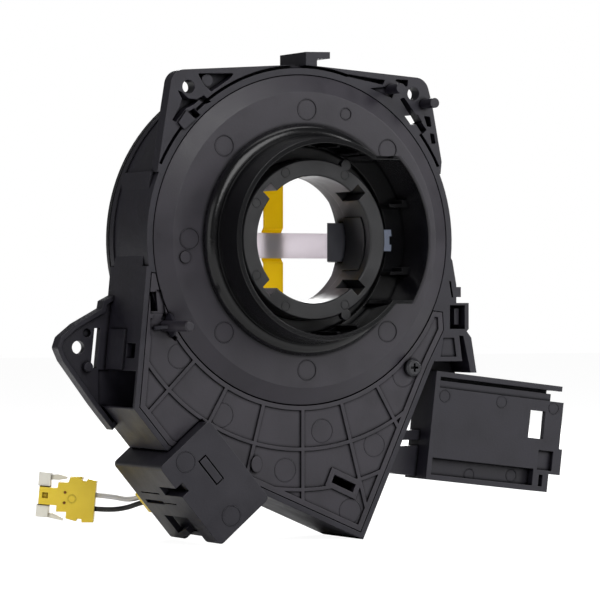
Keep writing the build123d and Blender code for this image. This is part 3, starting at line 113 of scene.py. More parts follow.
@dataclass(frozen=True)
class MouldedPlastic:
    """Injection-moulded plastic: a fine spark-eroded grain, soft flow variation, slightly rounded edges and
    painted shade in its crevices and corners.
    """

    name: str
    colour: str
    worn_colour: str
    roughness: float = 0.45
    roughness_spread: float = 0.08
    grain_mm: float = 0.7     # the real grain is about 0.1 mm, too fine to show in the render
    grain_depth_mm: float = 0.032
    grain_strength: float = 0.8
    edge_mm: float = 0.32
    mottle_mm: float = 9.0
    tint_span: Pair = (0.35, 0.75)    # mottle values between which the colour changes
    gloss_span: Pair = (0.3, 0.7)     # mottle values between which the roughness changes
    open_span: Pair = (0.5, 0.95)     # occlusion values from a crevice to an open face, over which the painted shade fades out
    specular: float = 0.5
    subsurface: float = 0.0
    subsurface_radius: Triple = (0.004, 0.003, 0.002)
    subsurface_scale: float = 0.5
    # reach and colour of the painted shade in crevices and corners
    painted_shade_reach_mm: float = 1.1
    painted_shade_colour: str = "060607"
    light_through: float = 0.0
    samples: int = 6

    def build(self) -> bpy.types.Material:
        """Make the material.

        Returns:
            The finished material.
        """
        material = bpy.data.materials.new(self.name)
        material.use_nodes = True
        tree = material.node_tree
        shader = tree.nodes["Principled BSDF"]
        place = add_node(tree, "ShaderNodeTexCoord").outputs["Object"]
        mottle = add_node(tree, "ShaderNodeTexNoise", inputs={
            "Vector": place, "Scale": 1 / (self.mottle_mm * MM), "Detail": 5.0, "Roughness": 0.62})
        grain = add_node(tree, "ShaderNodeTexNoise", inputs={
            "Vector": place, "Scale": 1 / (self.grain_mm * MM), "Detail": 2.0, "Roughness": 0.5})
        tint_share = add_node(tree, "ShaderNodeMapRange", inputs={
            "Value": mottle.outputs["Fac"], "From Min": self.tint_span[0], "From Max": self.tint_span[1]})
        tint = add_node(tree, "ShaderNodeMix", {"data_type": "RGBA"}, {
            "Factor": tint_share.outputs["Result"], "A": linear(self.colour), "B": linear(self.worn_colour)})
        # Painted shade: where the occlusion node finds faces close by, the base colour turns to the dark shade
        # colour and the highlight weakens.
        corner = add_node(tree, "ShaderNodeAmbientOcclusion", {"samples": self.samples}, {
            "Distance": self.painted_shade_reach_mm * MM})
        open_share = add_node(tree, "ShaderNodeMapRange", inputs={
            "Value": corner.outputs["AO"], "From Min": self.open_span[0], "From Max": self.open_span[1]})
        shaded_colour = add_node(tree, "ShaderNodeMix", {"data_type": "RGBA"}, {
            "Factor": open_share.outputs["Result"], "A": linear(self.painted_shade_colour),
            "B": tint.outputs["Result"]})
        gloss = add_node(tree, "ShaderNodeMapRange", inputs={
            "Value": mottle.outputs["Fac"], "From Min": self.gloss_span[0], "From Max": self.gloss_span[1],
            "To Min": self.roughness - self.roughness_spread,
            "To Max": self.roughness + self.roughness_spread})
        colour, roughness, highlight = self.polish(
            tree, place, shaded_colour.outputs["Result"], gloss.outputs["Result"])
        tree.links.new(colour, shader.inputs["Base Color"])
        tree.links.new(roughness, shader.inputs["Roughness"])
        shine = add_node(tree, "ShaderNodeMath", {"operation": "MULTIPLY"}, {
            0: open_share.outputs["Result"], 1: highlight})
        tree.links.new(shine.outputs[0], shader.inputs["Specular IOR Level"])
        rounded = add_node(tree, "ShaderNodeBevel", {"samples": self.samples}, {"Radius": self.edge_mm * MM})
        bump = add_node(tree, "ShaderNodeBump", inputs={
            "Strength": self.grain_strength, "Distance": self.grain_depth_mm * MM,
            "Height": grain.outputs["Fac"], "Normal": rounded.outputs["Normal"]})
        tree.links.new(bump.outputs["Normal"], shader.inputs["Normal"])
        shader.inputs["Subsurface Weight"].default_value = self.subsurface
        shader.inputs["Subsurface Radius"].default_value = self.subsurface_radius
        shader.inputs["Subsurface Scale"].default_value = self.subsurface_scale
        if self.light_through:
            through = add_node(tree, "ShaderNodeBsdfTranslucent", inputs={"Color": linear(self.colour)})
            thin = add_node(tree, "ShaderNodeMixShader", inputs={
                0: self.light_through, 1: shader.outputs[0], 2: through.outputs[0]})
            tree.links.new(thin.outputs[0], tree.nodes["Material Output"].inputs["Surface"])
        return material

    def polish(self, tree: bpy.types.NodeTree, place: bpy.types.NodeSocket, colour: bpy.types.NodeSocket,
               roughness: bpy.types.NodeSocket
               ) -> tuple[bpy.types.NodeSocket, bpy.types.NodeSocket, float | bpy.types.NodeSocket]:
        """Give the surface as the mould leaves it, here the same all over.

        Args:
            tree: the material's nodes, for a finish that adds some.
            place: object coordinates, for a finish that differs from place to place.
            colour: base colour with painted shade in its corners.
            roughness: roughness with its soft variation.

        Returns:
            Colour, roughness and the highlight strength on open faces.
        """
        return colour, roughness, self.specular


@dataclass(frozen=True)
class CollaredPlastic(MouldedPlastic):
    """The cover's plastic, with a mould polish on the collar and its cove, and painted shade and a painted dark
    reflection that make them look darker.
    """

    collar_r_mm: float = 34.8
    collar_blend_mm: float = 1.2
    painted_collar_shade_colour: str = "09090b"
    polished_roughness: float = 0.2
    polished_specular: float = 0.38

    def polish(self, tree: bpy.types.NodeTree, place: bpy.types.NodeSocket, colour: bpy.types.NodeSocket,
               roughness: bpy.types.NodeSocket
               ) -> tuple[bpy.types.NodeSocket, bpy.types.NodeSocket, float | bpy.types.NodeSocket]:
        """Mix the mould polish, the painted shade and the painted dark reflection in at the collar and inside
        it.

        Args:
            tree: the material's nodes.
            place: object coordinates.
            colour: base colour with its corners darkened.
            roughness: roughness with its soft variation.

        Returns:
            Colour, roughness and the highlight strength on open faces.
        """
        flat = add_node(tree, "ShaderNodeVectorMath", {"operation": "MULTIPLY"}, {0: place, 1: (1, 0, 1)})
        radius = add_node(tree, "ShaderNodeVectorMath", {"operation": "LENGTH"}, {0: flat.outputs[0]})
        polish_and_shade = add_node(tree, "ShaderNodeMapRange", {"interpolation_type": "SMOOTHSTEP"}, {
            "Value": radius.outputs["Value"], "From Min": (self.collar_r_mm + self.collar_blend_mm) * MM,
            "From Max": (self.collar_r_mm - self.collar_blend_mm) * MM}).outputs["Result"]
        # Painted shade and painted dark reflection: the collar, its cove and the walls inside it turn near
        # black.
        dark = add_node(tree, "ShaderNodeMix", {"data_type": "RGBA"}, {
            "Factor": polish_and_shade, "A": colour, "B": linear(self.painted_collar_shade_colour)})
        smooth = add_node(tree, "ShaderNodeMix", {"data_type": "FLOAT"}, {
            "Factor": polish_and_shade, "A": roughness, "B": self.polished_roughness})
        shine = add_node(tree, "ShaderNodeMix", {"data_type": "FLOAT"}, {
            "Factor": polish_and_shade, "A": self.specular, "B": self.polished_specular})
        return dark.outputs["Result"], smooth.outputs["Result"], shine.outputs["Result"]


@dataclass(frozen=True)
class BareMetal:
    """Stamped, turned or plated metal with fine directionless scratches."""

    name: str
    colour: str
    roughness: float = 0.3
    roughness_spread: Pair = (-0.1, 0.15)
    scratch_mm: float = 0.6

    def build(self) -> bpy.types.Material:
        """Make the material.

        Returns:
            The finished material.
        """
        material = bpy.data.materials.new(self.name)
        material.use_nodes = True
        tree = material.node_tree
        shader = tree.nodes["Principled BSDF"]
        place = add_node(tree, "ShaderNodeTexCoord").outputs["Object"]
        scratch = add_node(tree, "ShaderNodeTexNoise", inputs={
            "Vector": place, "Scale": 1 / (self.scratch_mm * MM), "Detail": 6.0, "Roughness": 0.7})
        gloss = add_node(tree, "ShaderNodeMapRange", inputs={
            "Value": scratch.outputs["Fac"], "To Min": self.roughness + self.roughness_spread[0],
            "To Max": self.roughness + self.roughness_spread[1]})
        tree.links.new(gloss.outputs["Result"], shader.inputs["Roughness"])
        shader.inputs["Base Color"].default_value = linear(self.colour)
        shader.inputs["Metallic"].default_value = 1.0
        return material


@cache
def material_of(finish: MouldedPlastic | BareMetal) -> bpy.types.Material:
    """Give a finish's material, which is made once however many pieces have it.

    Args:
        finish: the finish.

    Returns:
        Its material.
    """
    return finish.build()


# Every finish below has painted shade in its crevices and corners; a crevice colour given to a finish is the
# colour of that painted shade.
# PBT with glass fibre, moulded in a textured tool: charcoal with a violet cast, satin, faintly cloudy.
HOUSING_PBT = MouldedPlastic("black_pbt_moulded", "13111a", "1a1822", roughness=0.48, specular=0.42)
# The cover's PBT: a shade lighter, with a mould polish on the collar and painted shade darkening it.
COVER_PBT = CollaredPlastic("black_pbt_collared", "1b1820", "242029", roughness=0.46)
# POM of the turning parts: smoother, because it slides.
ROTOR_POM = MouldedPlastic("black_pom_moulded", "131315", "1a1a1d", roughness=0.36, grain_depth_mm=0.006)
# Connector PBT from a smoother mould: a little shinier.
SOCKET_PBT = MouldedPlastic("dark_pbt_connector", "14121b", "1c1a23", roughness=0.44, specular=0.44)
# Uncoloured dark nylon of the transport lock.
LOCK_NYLON = MouldedPlastic("slate_nylon_moulded", "29292f", "33333a", roughness=0.5)
# White polypropylene strap: thin enough for light to come through, waxy.
STRAP_PP = MouldedPlastic("white_pp_strap", "f3eef2", "e8e3e7", roughness=0.5, mottle_mm=6.0,
                          painted_shade_colour="c9c2c6", light_through=0.6)
# Yellow vinyl tape: smooth and glossy, and thin, so that light comes through.
TAPE_VINYL = MouldedPlastic("yellow_vinyl_tape", "f7de2c", "efd222", roughness=0.35, grain_mm=1.2,
                            mottle_mm=14.0, painted_shade_colour="b98a08", light_through=0.5)
# Yellow PBT of airbag connectors: glossy, with soft colour change at thick places.
AIRBAG_PBT = MouldedPlastic("yellow_pbt_moulded", "f0d23c", "e8c832", roughness=0.34, subsurface=0.05,
                            painted_shade_colour="8a6c10")
# Inside of the two small holes of the airbag plug, brown in their own shade.
HOLE_SHADE = MouldedPlastic("brown_hole_shade", "8a5210", "7d4a0e", roughness=0.6, painted_shade_colour="6b3f0e")
# Natural nylon with a cold tint.
NATURAL_NYLON = MouldedPlastic("pale_nylon_moulded", "6a7182", "5d6474", roughness=0.4,
                               painted_shade_colour="2d3138")
# Light grey PBT of the plug's lock.
LOCK_PBT = MouldedPlastic("light_grey_pbt_moulded", "eeebdf", "e2dfd2", roughness=0.4,
                          painted_shade_colour="84827a")
# Polyester film of the flat cable over tinned strips.
CABLE_FILM = MouldedPlastic("amber_polyester_film", "a98a55", "8f7343", roughness=0.25,
                            painted_shade_colour="4a3a20")
# PTFE film that the flat cable's edge slides on.
SLIDE_FILM = MouldedPlastic("milky_ptfe_film", "cfcfca", "c0c0ba", roughness=0.45, painted_shade_colour="80807c")
# PVC insulation of the leads.
WHITE_PVC = MouldedPlastic("white_pvc_insulation", "e4e3e6", "d5d4d6", roughness=0.4, painted_shade_colour="8c8b8d")
BLACK_PVC = MouldedPlastic("black_pvc_insulation", "141414", "1d1d1d", roughness=0.4)
# Black-coated screw and tinned brass terminals.
COATED_STEEL = MouldedPlastic("black_coated_steel", "1b1b1e", "26262a", roughness=0.3)
TIN_BRASS = BareMetal("tinned_brass", "c0b48f", 0.3)


@dataclass
class Studio:
    """Pale floor, soft lamps, white background and the photograph's camera."""

    floor_z: float
    azimuth_deg: float = 27.5
    distance: float = 1.005
    aim_right: float = -0.00087
    aim_z: float = -0.018
    lens_mm: float = 201.0
    sensor_mm: float = 36.0
    near_clip: float = 0.01
    lamps: tuple[tuple[str, Triple, float, float], ...] = (    # name, place, size and watts
        ("left_softbox", (-0.75, -0.3, 0.15), 0.5, 0.9),
        ("front_softbox", (-0.05, -0.87, 0.6), 0.75, 7.8),
        ("top_softbox", (0.1, 0.1, 0.85), 0.6, 2.2),
        ("right_softbox", (0.8, -0.62, 0.3), 0.5, 4.6),
        ("rear_softbox", (0.5, 0.7, 0.25), 0.5, 7.5))
    lamp_aim: Triple = (0, 0, -0.02)
    around_strength: float = 0.14
    floor_half: float = 3.0
    floor_colour: str = "f4f4f4"
    floor_glow: float = 1.3
    floor_share: float = 0.72

    def place_camera(self) -> None:
        """Put the camera where the photograph was taken from."""
        turn = math.radians(self.azimuth_deg)
        forward = Vector((math.sin(turn), math.cos(turn), 0))
        right = Vector((math.cos(turn), -math.sin(turn), 0))
        data = bpy.data.cameras.new("camera")
        data.lens = self.lens_mm
        data.sensor_width = self.sensor_mm
        data.clip_start = self.near_clip
        data.dof.use_dof = False
        camera = bpy.data.objects.new("camera", data)
        camera.location = right * self.aim_right - forward * self.distance + Vector((0, 0, self.aim_z))
        camera.rotation_euler = (math.radians(90), 0, -turn)
        bpy.context.scene.collection.objects.link(camera)
        bpy.context.scene.camera = camera

    def place_lamps(self) -> None:
        """Add the soft lamps, each aimed at the object's middle."""
        for name, place, size, power in self.lamps:
            data = bpy.data.lights.new(name, "AREA")
            data.energy = power
            data.size = size
            lamp = bpy.data.objects.new(name, data)
            lamp.location = place
            aim = Vector(self.lamp_aim) - Vector(place)
            lamp.rotation_euler = aim.to_track_quat("-Z", "Y").to_euler()
            bpy.context.scene.collection.objects.link(lamp)

    def seen_directly(self, tree: bpy.types.NodeTree) -> bpy.types.NodeSocket:
        """Give 1 for camera and transmission rays, and 0 for glossy ones, which would turn black plastic grey.

        Args:
            tree: node tree that gets the nodes.

        Returns:
            The output socket to use as a factor.
        """
        path = add_node(tree, "ShaderNodeLightPath")
        either = add_node(tree, "ShaderNodeMath", {"operation": "MAXIMUM"}, {
            0: path.outputs["Is Camera Ray"], 1: path.outputs["Is Transmission Ray"]})
        return either.outputs[0]

    def light_world(self) -> None:
        """White where the camera looks past the object, a plain soft level elsewhere."""
        world = bpy.data.worlds.new("tent")
        world.use_nodes = True
        bpy.context.scene.world = world
        tree = world.node_tree
        tree.nodes.clear()
        around = add_node(tree, "ShaderNodeBackground", inputs={
            "Color": WHITE, "Strength": self.around_strength})
        behind = add_node(tree, "ShaderNodeBackground", inputs={"Color": WHITE, "Strength": 1.0})
        both = add_node(tree, "ShaderNodeMixShader", inputs={
            0: self.seen_directly(tree), 1: around.outputs[0], 2: behind.outputs[0]})
        add_node(tree, "ShaderNodeOutputWorld", inputs={"Surface": both.outputs[0]})

    def lay_floor(self) -> None:
        """Lay the pale floor under the object's lowest point."""
        half, level = self.floor_half, self.floor_z
        corners = [(-half, -half, level), (half, -half, level), (half, half, level), (-half, half, level)]
        mesh = bpy.data.meshes.new("floor")
        mesh.from_pydata(corners, [], [(0, 1, 2, 3)])
        floor = bpy.data.objects.new("floor", mesh)
        bpy.context.scene.collection.objects.link(floor)
        material = bpy.data.materials.new("white_paper")
        material.use_nodes = True
        tree = material.node_tree
        tree.nodes.clear()
        paper = add_node(tree, "ShaderNodeBsdfDiffuse", inputs={"Color": linear(self.floor_colour)})
        glow = add_node(tree, "ShaderNodeEmission", inputs={"Color": WHITE, "Strength": self.floor_glow})
        share = add_node(tree, "ShaderNodeMath", {"operation": "MULTIPLY"}, {
            0: self.seen_directly(tree), 1: self.floor_share})
        mixed = add_node(tree, "ShaderNodeMixShader", inputs={
            0: share.outputs[0], 1: paper.outputs[0], 2: glow.outputs[0]})
        add_node(tree, "ShaderNodeOutputMaterial", inputs={"Surface": mixed.outputs[0]})
        mesh.materials.append(material)

    def build(self) -> None:
        """Set up camera, lamps, world and floor."""
        self.place_camera()
        self.place_lamps()
        self.light_world()
        self.lay_floor()
        bpy.context.scene.view_settings.view_transform = "Standard"


@dataclass
class CadDress:
    """Gives every CAD node its finish."""

    finishes: dict[str, MouldedPlastic | BareMetal] = field(default_factory=lambda: {
        "stator_case": HOUSING_PBT, "rear_cover": COVER_PBT, "cover_screw": COATED_STEEL,
        "harness_socket": SOCKET_PBT, "harness_terminals": TIN_BRASS, "lead_insert": AIRBAG_PBT,
        "outer_terminal_block": NATURAL_NYLON, "ribbon_cable": CABLE_FILM, "airbag_plug": AIRBAG_PBT,
        "plug_terminals": TIN_BRASS, "plug_lock": LOCK_PBT, "rotor_hub": ROTOR_POM,
        "rotor_sleeve": ROTOR_POM, "inner_terminal_block": NATURAL_NYLON, "slider_ring": SLIDE_FILM,
        "wheel_socket": SOCKET_PBT, "wheel_socket_pins": TIN_BRASS, "lock_block": LOCK_NYLON,
        "lock_strap": STRAP_PP, "lock_tape": TAPE_VINYL})

    def dress(self) -> None:
        """Put each finish on its nodes."""
        for node_name, finish in self.finishes.items():
            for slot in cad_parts[node_name].material_slots:
                slot.material = material_of(finish)
            log.info("dressed %s in %s", node_name, finish.name)


@dataclass
class AirbagLeads:
    """The white and the black lead from the yellow insert to the airbag plug."""

    radius: float = 0.78 * MM
    white_length: float = 32.3 * MM
    black_length: float = 31.0 * MM
    curve_order: int = 3
    steps_along: int = 12
    steps_around: int = 6
    white_route: tuple[Triple, ...] = (
        (-32.0, 22.5, -76.3), (-32.0, 28.6, -76.1), (-32.0, 34.54, -76.3), (-33.76, 38.52, -77.5),
        (-38.02, 41.72, -79.26), (-43.15, 43.684, -78.031), (-47.453, 45.924, -77.607))
    black_route: tuple[Triple, ...] = (
        (-34.2, 22.5, -79.1), (-34.2, 28.4, -78.9), (-34.2, 34.2, -79.1), (-35.8, 38.6, -79.9),
        (-39.0, 42.0, -81.6), (-43.890, 44.069, -82.175), (-47.778, 46.093, -81.791))

    def lay(self, name: str, route: tuple[Triple, ...], length: float, finish: MouldedPlastic) -> None:
        """Lay one lead as a smooth curve along its route.

        Args:
            name: the lead's piece name; the CAD node has the same name without the ending.
            route: control points in millimetres.
            length: real length in metres.
            finish: insulation finish.
        """
        curve = bpy.data.curves.new(name, "CURVE")
        curve.dimensions = "3D"
        curve.bevel_depth = self.radius
        curve.bevel_resolution = self.steps_around
        curve.use_fill_caps = True
        spline = curve.splines.new("NURBS")
        spline.points.add(len(route) - 1)
        for point, place in zip(spline.points, route):
            point.co = (place[0] * MM, place[1] * MM, place[2] * MM, 1.0)
        spline.order_u = self.curve_order
        spline.use_endpoint_u = True
        spline.resolution_u = self.steps_along
        lead = bpy.data.objects.new(name, curve)
        bpy.context.scene.collection.objects.link(lead)
        curve.materials.append(material_of(finish))
        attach(lead, "stator")
        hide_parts(name.removesuffix("_run"))
        tuple(value * MM for value in route[0])
        log.info("laid %s, %.1f mm", name, length / MM)

    def build(self) -> None:
        """Lay both leads, each with the plug on its end."""
        self.lay("white_lead_run", self.white_route, self.white_length, WHITE_PVC)
        self.lay("black_lead_run", self.black_route, self.black_length, BLACK_PVC)


def lofted(name: str, bodies: list[list[list[Vector]]]) -> bpy.types.Object:
    """Make closed bodies as one object, each through its own rings of points.

    Args:
        name: the object's name.
        bodies: each body's rings, with the same number of points in metres.

    Returns:
        The new object, at the origin, with its faces turned outwards.
    """
    maker = bmesh.new()
    for rings in bodies:
        rows = [[maker.verts.new(point) for point in ring] for ring in rings]
        maker.faces.new(rows[0])
        maker.faces.new(rows[-1])
        for before, after in zip(rows, rows[1:]):
            for index in range(len(before)):
                following = (index + 1) % len(before)
                maker.faces.new((before[index], before[following], after[following], after[index]))
    bmesh.ops.recalc_face_normals(maker, faces=maker.faces)
    mesh = bpy.data.meshes.new(name)
    maker.to_mesh(mesh)
    maker.free()
    made = bpy.data.objects.new(name, mesh)
    bpy.context.scene.collection.objects.link(made)
    return made


def baked(source: bpy.types.Object, name: str) -> bpy.types.Object:
    """Turn an object and its modifiers into one with a plain mesh, shaded smooth between its sharp edges.

    Args:
        source: object to turn, which is dropped.
        name: name of the new object.

    Returns:
        The new object, without modifiers.
    """
    bpy.context.view_layer.update()
    mesh = bpy.data.meshes.new_from_object(source.evaluated_get(bpy.context.evaluated_depsgraph_get()))
    mesh.name = name
    bpy.data.objects.remove(source)
    made = bpy.data.objects.new(name, mesh)
    bpy.context.scene.collection.objects.link(made)
    mesh.polygons.foreach_set("use_smooth", [True] * len(mesh.polygons))
    mesh.set_sharp_from_angle(angle=math.radians(SMOOTH_ANGLE_DEG))
    return made


def carved(block: bpy.types.Object, steps: list[tuple[Cut, bpy.types.Object]], name: str) -> bpy.types.Object:
    """Cut tool meshes out of a block, or join them to it.

    Args:
        block: mesh to start from, which is dropped.
        steps: what to do with each tool mesh, in turn; the tools are dropped too.
        name: name of the new object.

    Returns:
        The new object, without a material.
    """
    for cut, tool in steps:
        change = block.modifiers.new(tool.name, "BOOLEAN")
        change.object = tool
        change.operation = cut.value
        change.solver = "EXACT"
    made = baked(block, name)
    for _, tool in steps:
        bpy.data.objects.remove(tool)
    made.data.materials.clear()
    return made


@dataclass
class SocketFrame:
    """The harness socket's own axes: x down its rear face to the right, y up to the right, depth along Y."""

    middle: Pair = (-31.8, -71.9)
    along: Pair = (0.6455, -0.7638)

    def spot(self, x: float, y: float, depth: float) -> Vector:
        """Give a point of the socket in the shared frame, in metres.

        Args:
            x: millimetres along the rear face's long side.
            y: millimetres along its short side.
            depth: millimetres along Y.

        Returns:
            The point.
        """
        return Vector((self.middle[0] + x * self.along[0] - y * self.along[1], depth,
                       self.middle[1] + x * self.along[1] + y * self.along[0])) * MM

    def prism(self, name: str, outline: list[Pair], low: float, high: float,
              through_wall: bool = False) -> bpy.types.Object:
        """Make a closed prism from an outline.

        Args:
            name: the object's name.
            outline: corners in x and y, or in x and depth where it goes through the side wall.
            low: where the prism starts.
            high: where it ends.
            through_wall: whether it runs along y instead of along the depth.

        Returns:
            The prism as an object.
        """
        ends = [[self.spot(first, level, second) if through_wall else self.spot(first, second, level)
                 for first, second in outline] for level in (low, high)]
        return lofted(name, [ends])


@dataclass
class TrayFrame:
    """The switch tray's own axes: along it to the right, and up across it."""

    corner: Pair = (46.3, -39.7)
    tilt_deg: float = -6.8

    def place(self, along: float, up: float) -> Pair:
        """Give a place of the tray as x and z of the shared frame, in millimetres.

        Args:
            along: millimetres along the tray from its corner.
            up: millimetres up across it.

        Returns:
            Its x and z.
        """
        tilt = math.radians(self.tilt_deg)
        return (self.corner[0] + along * math.cos(tilt) - up * math.sin(tilt),
                self.corner[1] + along * math.sin(tilt) + up * math.cos(tilt))


@dataclass
class PlugFrame:
    """The airbag plug's own axes, on the face that the photograph shows."""

    origin: Triple = (-47.6, 46.0, -79.5)
    along: Triple = (0.88363, -0.45999, -0.08716)
    up: Triple = (0.07731, -0.04025, 0.99619)
    out: Triple = (-0.46175, -0.88701, 0.0)
    half_thickness: float = 3.25

    def spot(self, along: float, up: float) -> Vector:
        """Give a point on the plug's face, in metres.

        Args:
            along: millimetres along the plug, 0 at its lead end.
            up: millimetres up from its middle.

        Returns:
            The point.
        """
        return (Vector(self.origin) + Vector(self.along) * along + Vector(self.up) * up
                + Vector(self.out) * self.half_thickness) * MM


def box_outline(left: float, low: float, right: float, high: float, corner_r: float = 0.0,
                steps: int = 5) -> list[Pair]:
    """Give the corners of a rectangle, rounded or sharp.

    Args:
        left: smallest first coordinate.
        low: smallest second coordinate.
        right: largest first coordinate.
        high: largest second coordinate.
        corner_r: corner radius, 0 for sharp corners.
        steps: points on each rounded corner, less one.

    Returns:
        The corners in turn.
    """
    if not corner_r:
        return [(left, low), (right, low), (right, high), (left, high)]
    near_x, far_x = left + corner_r, right - corner_r
    near_y, far_y = low + corner_r, high - corner_r
    points = []
    for centre_x, centre_y, start in ((far_x, near_y, -90), (far_x, far_y, 0),
                                      (near_x, far_y, 90), (near_x, near_y, 180)):
        for step in range(steps + 1):
            angle = math.radians(start + 90 * step / steps)
            points.append((centre_x + corner_r * math.cos(angle), centre_y + corner_r * math.sin(angle)))
    return points


@dataclass
class HarnessShell:
    """The harness socket as the render shows it.

    It has the notch, slots and latch window of its lower left wall, and guessed inner walls that close the view
    through them.
    """

    axes: SocketFrame = field(default_factory=SocketFrame)
    half_length: float = 15.35
    half_width: float = 10.6
    corner_r: float = 1.5
    inside_corner_r: float = 0.6
    wall: float = 1.8
    rear: float = -5.0
    front: float = 28.0
    bar: Sides = (-8.1, 0.35, 0.5, 2.75)
    bar_rise: float = 0.15
    bar_root: float = 0.9
    groove_width: float = 0.4
    groove_depth: float = 0.6
    side_cuts: tuple[tuple[str, Sides], ...] = (
        ("notch", (-7.2, -6.0, -3.9, 6.5)), ("thin_slot", (-4.35, 10.7, -3.85, 23.2)),
        ("wide_slot", (-1.1, 12.6, 0.3, 24.9)), ("slot_tail", (-0.6, 3.8, -0.2, 12.8)))
    window: tuple[Pair, ...] = (
        (5.0, 19.6), (4.9, 3.3), (16.0, 3.3), (16.0, 19.8), (14.2, 19.8), (11.9, 10.6), (10.2, 11.8),
        (12.2, 19.6))
    inner_walls: tuple[Sides, ...] = (
        (-13.8, -5.8, -1.4, -5.0), (-1.9, -9.0, -1.3, -5.1), (-1.8, -9.0, 5.9, -8.2), (5.3, -8.9, 5.9, -1.3),
        (5.4, -7.4, 13.8, -6.6))
    inner_wall_lap: float = 0.2     # how far an inner wall runs into the rear one and ends behind the front
    tool_lap: float = 1.0           # how far a cutting tool runs past the face it cuts
    side_tool_lap: float = 1.5      # the same on the outside of the side wall

    def build(self) -> None:
        """Cut the shell and put it in the place of the CAD socket."""
        length, width, wall = self.half_length, self.half_width, self.wall
        prism, groove = self.axes.prism, self.groove_width
        left, low, right, high = self.bar
        outside = box_outline(-length, -width, length, width, self.corner_r)
        inside = box_outline(-length + wall, -width + wall, length - wall, width - wall, self.inside_corner_r)
        around_bar = box_outline(left - groove, low - groove, right + groove, high + groove)
        shell = prism("shell_block", outside, self.rear, self.front)
        steps = [
            (Cut.TAKE_AWAY, prism("inside", inside, self.rear + wall, self.front + self.tool_lap)),
            (Cut.TAKE_AWAY, prism("bar_groove", around_bar, self.rear - self.tool_lap,
                                  self.rear + self.groove_depth)),
            (Cut.JOIN, prism("bar", box_outline(*self.bar), self.rear - self.bar_rise,
                             self.rear + self.bar_root))]
        for name, outline in (*((name, box_outline(*sides)) for name, sides in self.side_cuts),
                              ("window", list(self.window))):
            steps.append((Cut.TAKE_AWAY, prism(name, outline, -width - self.side_tool_lap,
                                               -width + wall + self.tool_lap, through_wall=True)))
        for number, plate in enumerate(self.inner_walls):
            steps.append((Cut.JOIN, prism(f"inner_wall_{number}", box_outline(*plate),
                                          self.rear + wall - self.inner_wall_lap,
                                          self.front - self.inner_wall_lap)))
        made = carved(shell, steps, "socket_shell")
        made.data.materials.append(material_of(SOCKET_PBT))
        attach(made, "stator")
        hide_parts("harness_socket")
        log.info("cut socket_shell, %d faces", len(made.data.polygons))


@dataclass
class InsertLip:
    """The yellow insert's front flange, which stands out of the harness socket round the leads."""

    axes: SocketFrame = field(default_factory=SocketFrame)
    flange: Sides = (-2.4, -10.3, 5.2, -1.2)
    stem: Sides = (-0.6, -8.0, 5.0, -0.6)
    flange_depth: Pair = (28.05, 31.0)
    stem_depth: Pair = (22.4, 28.4)
    corner_r: float = 0.5

    def build(self) -> None:
        """Join flange and stem."""
        flange = self.axes.prism("flange", box_outline(*self.flange, self.corner_r), *self.flange_depth)
        stem = self.axes.prism("stem", box_outline(*self.stem, self.corner_r), *self.stem_depth)
        made = carved(flange, [(Cut.JOIN, stem)], "insert_lip")
        made.data.materials.append(material_of(AIRBAG_PBT))
        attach(made, "stator")
        log.info("joined insert_lip")


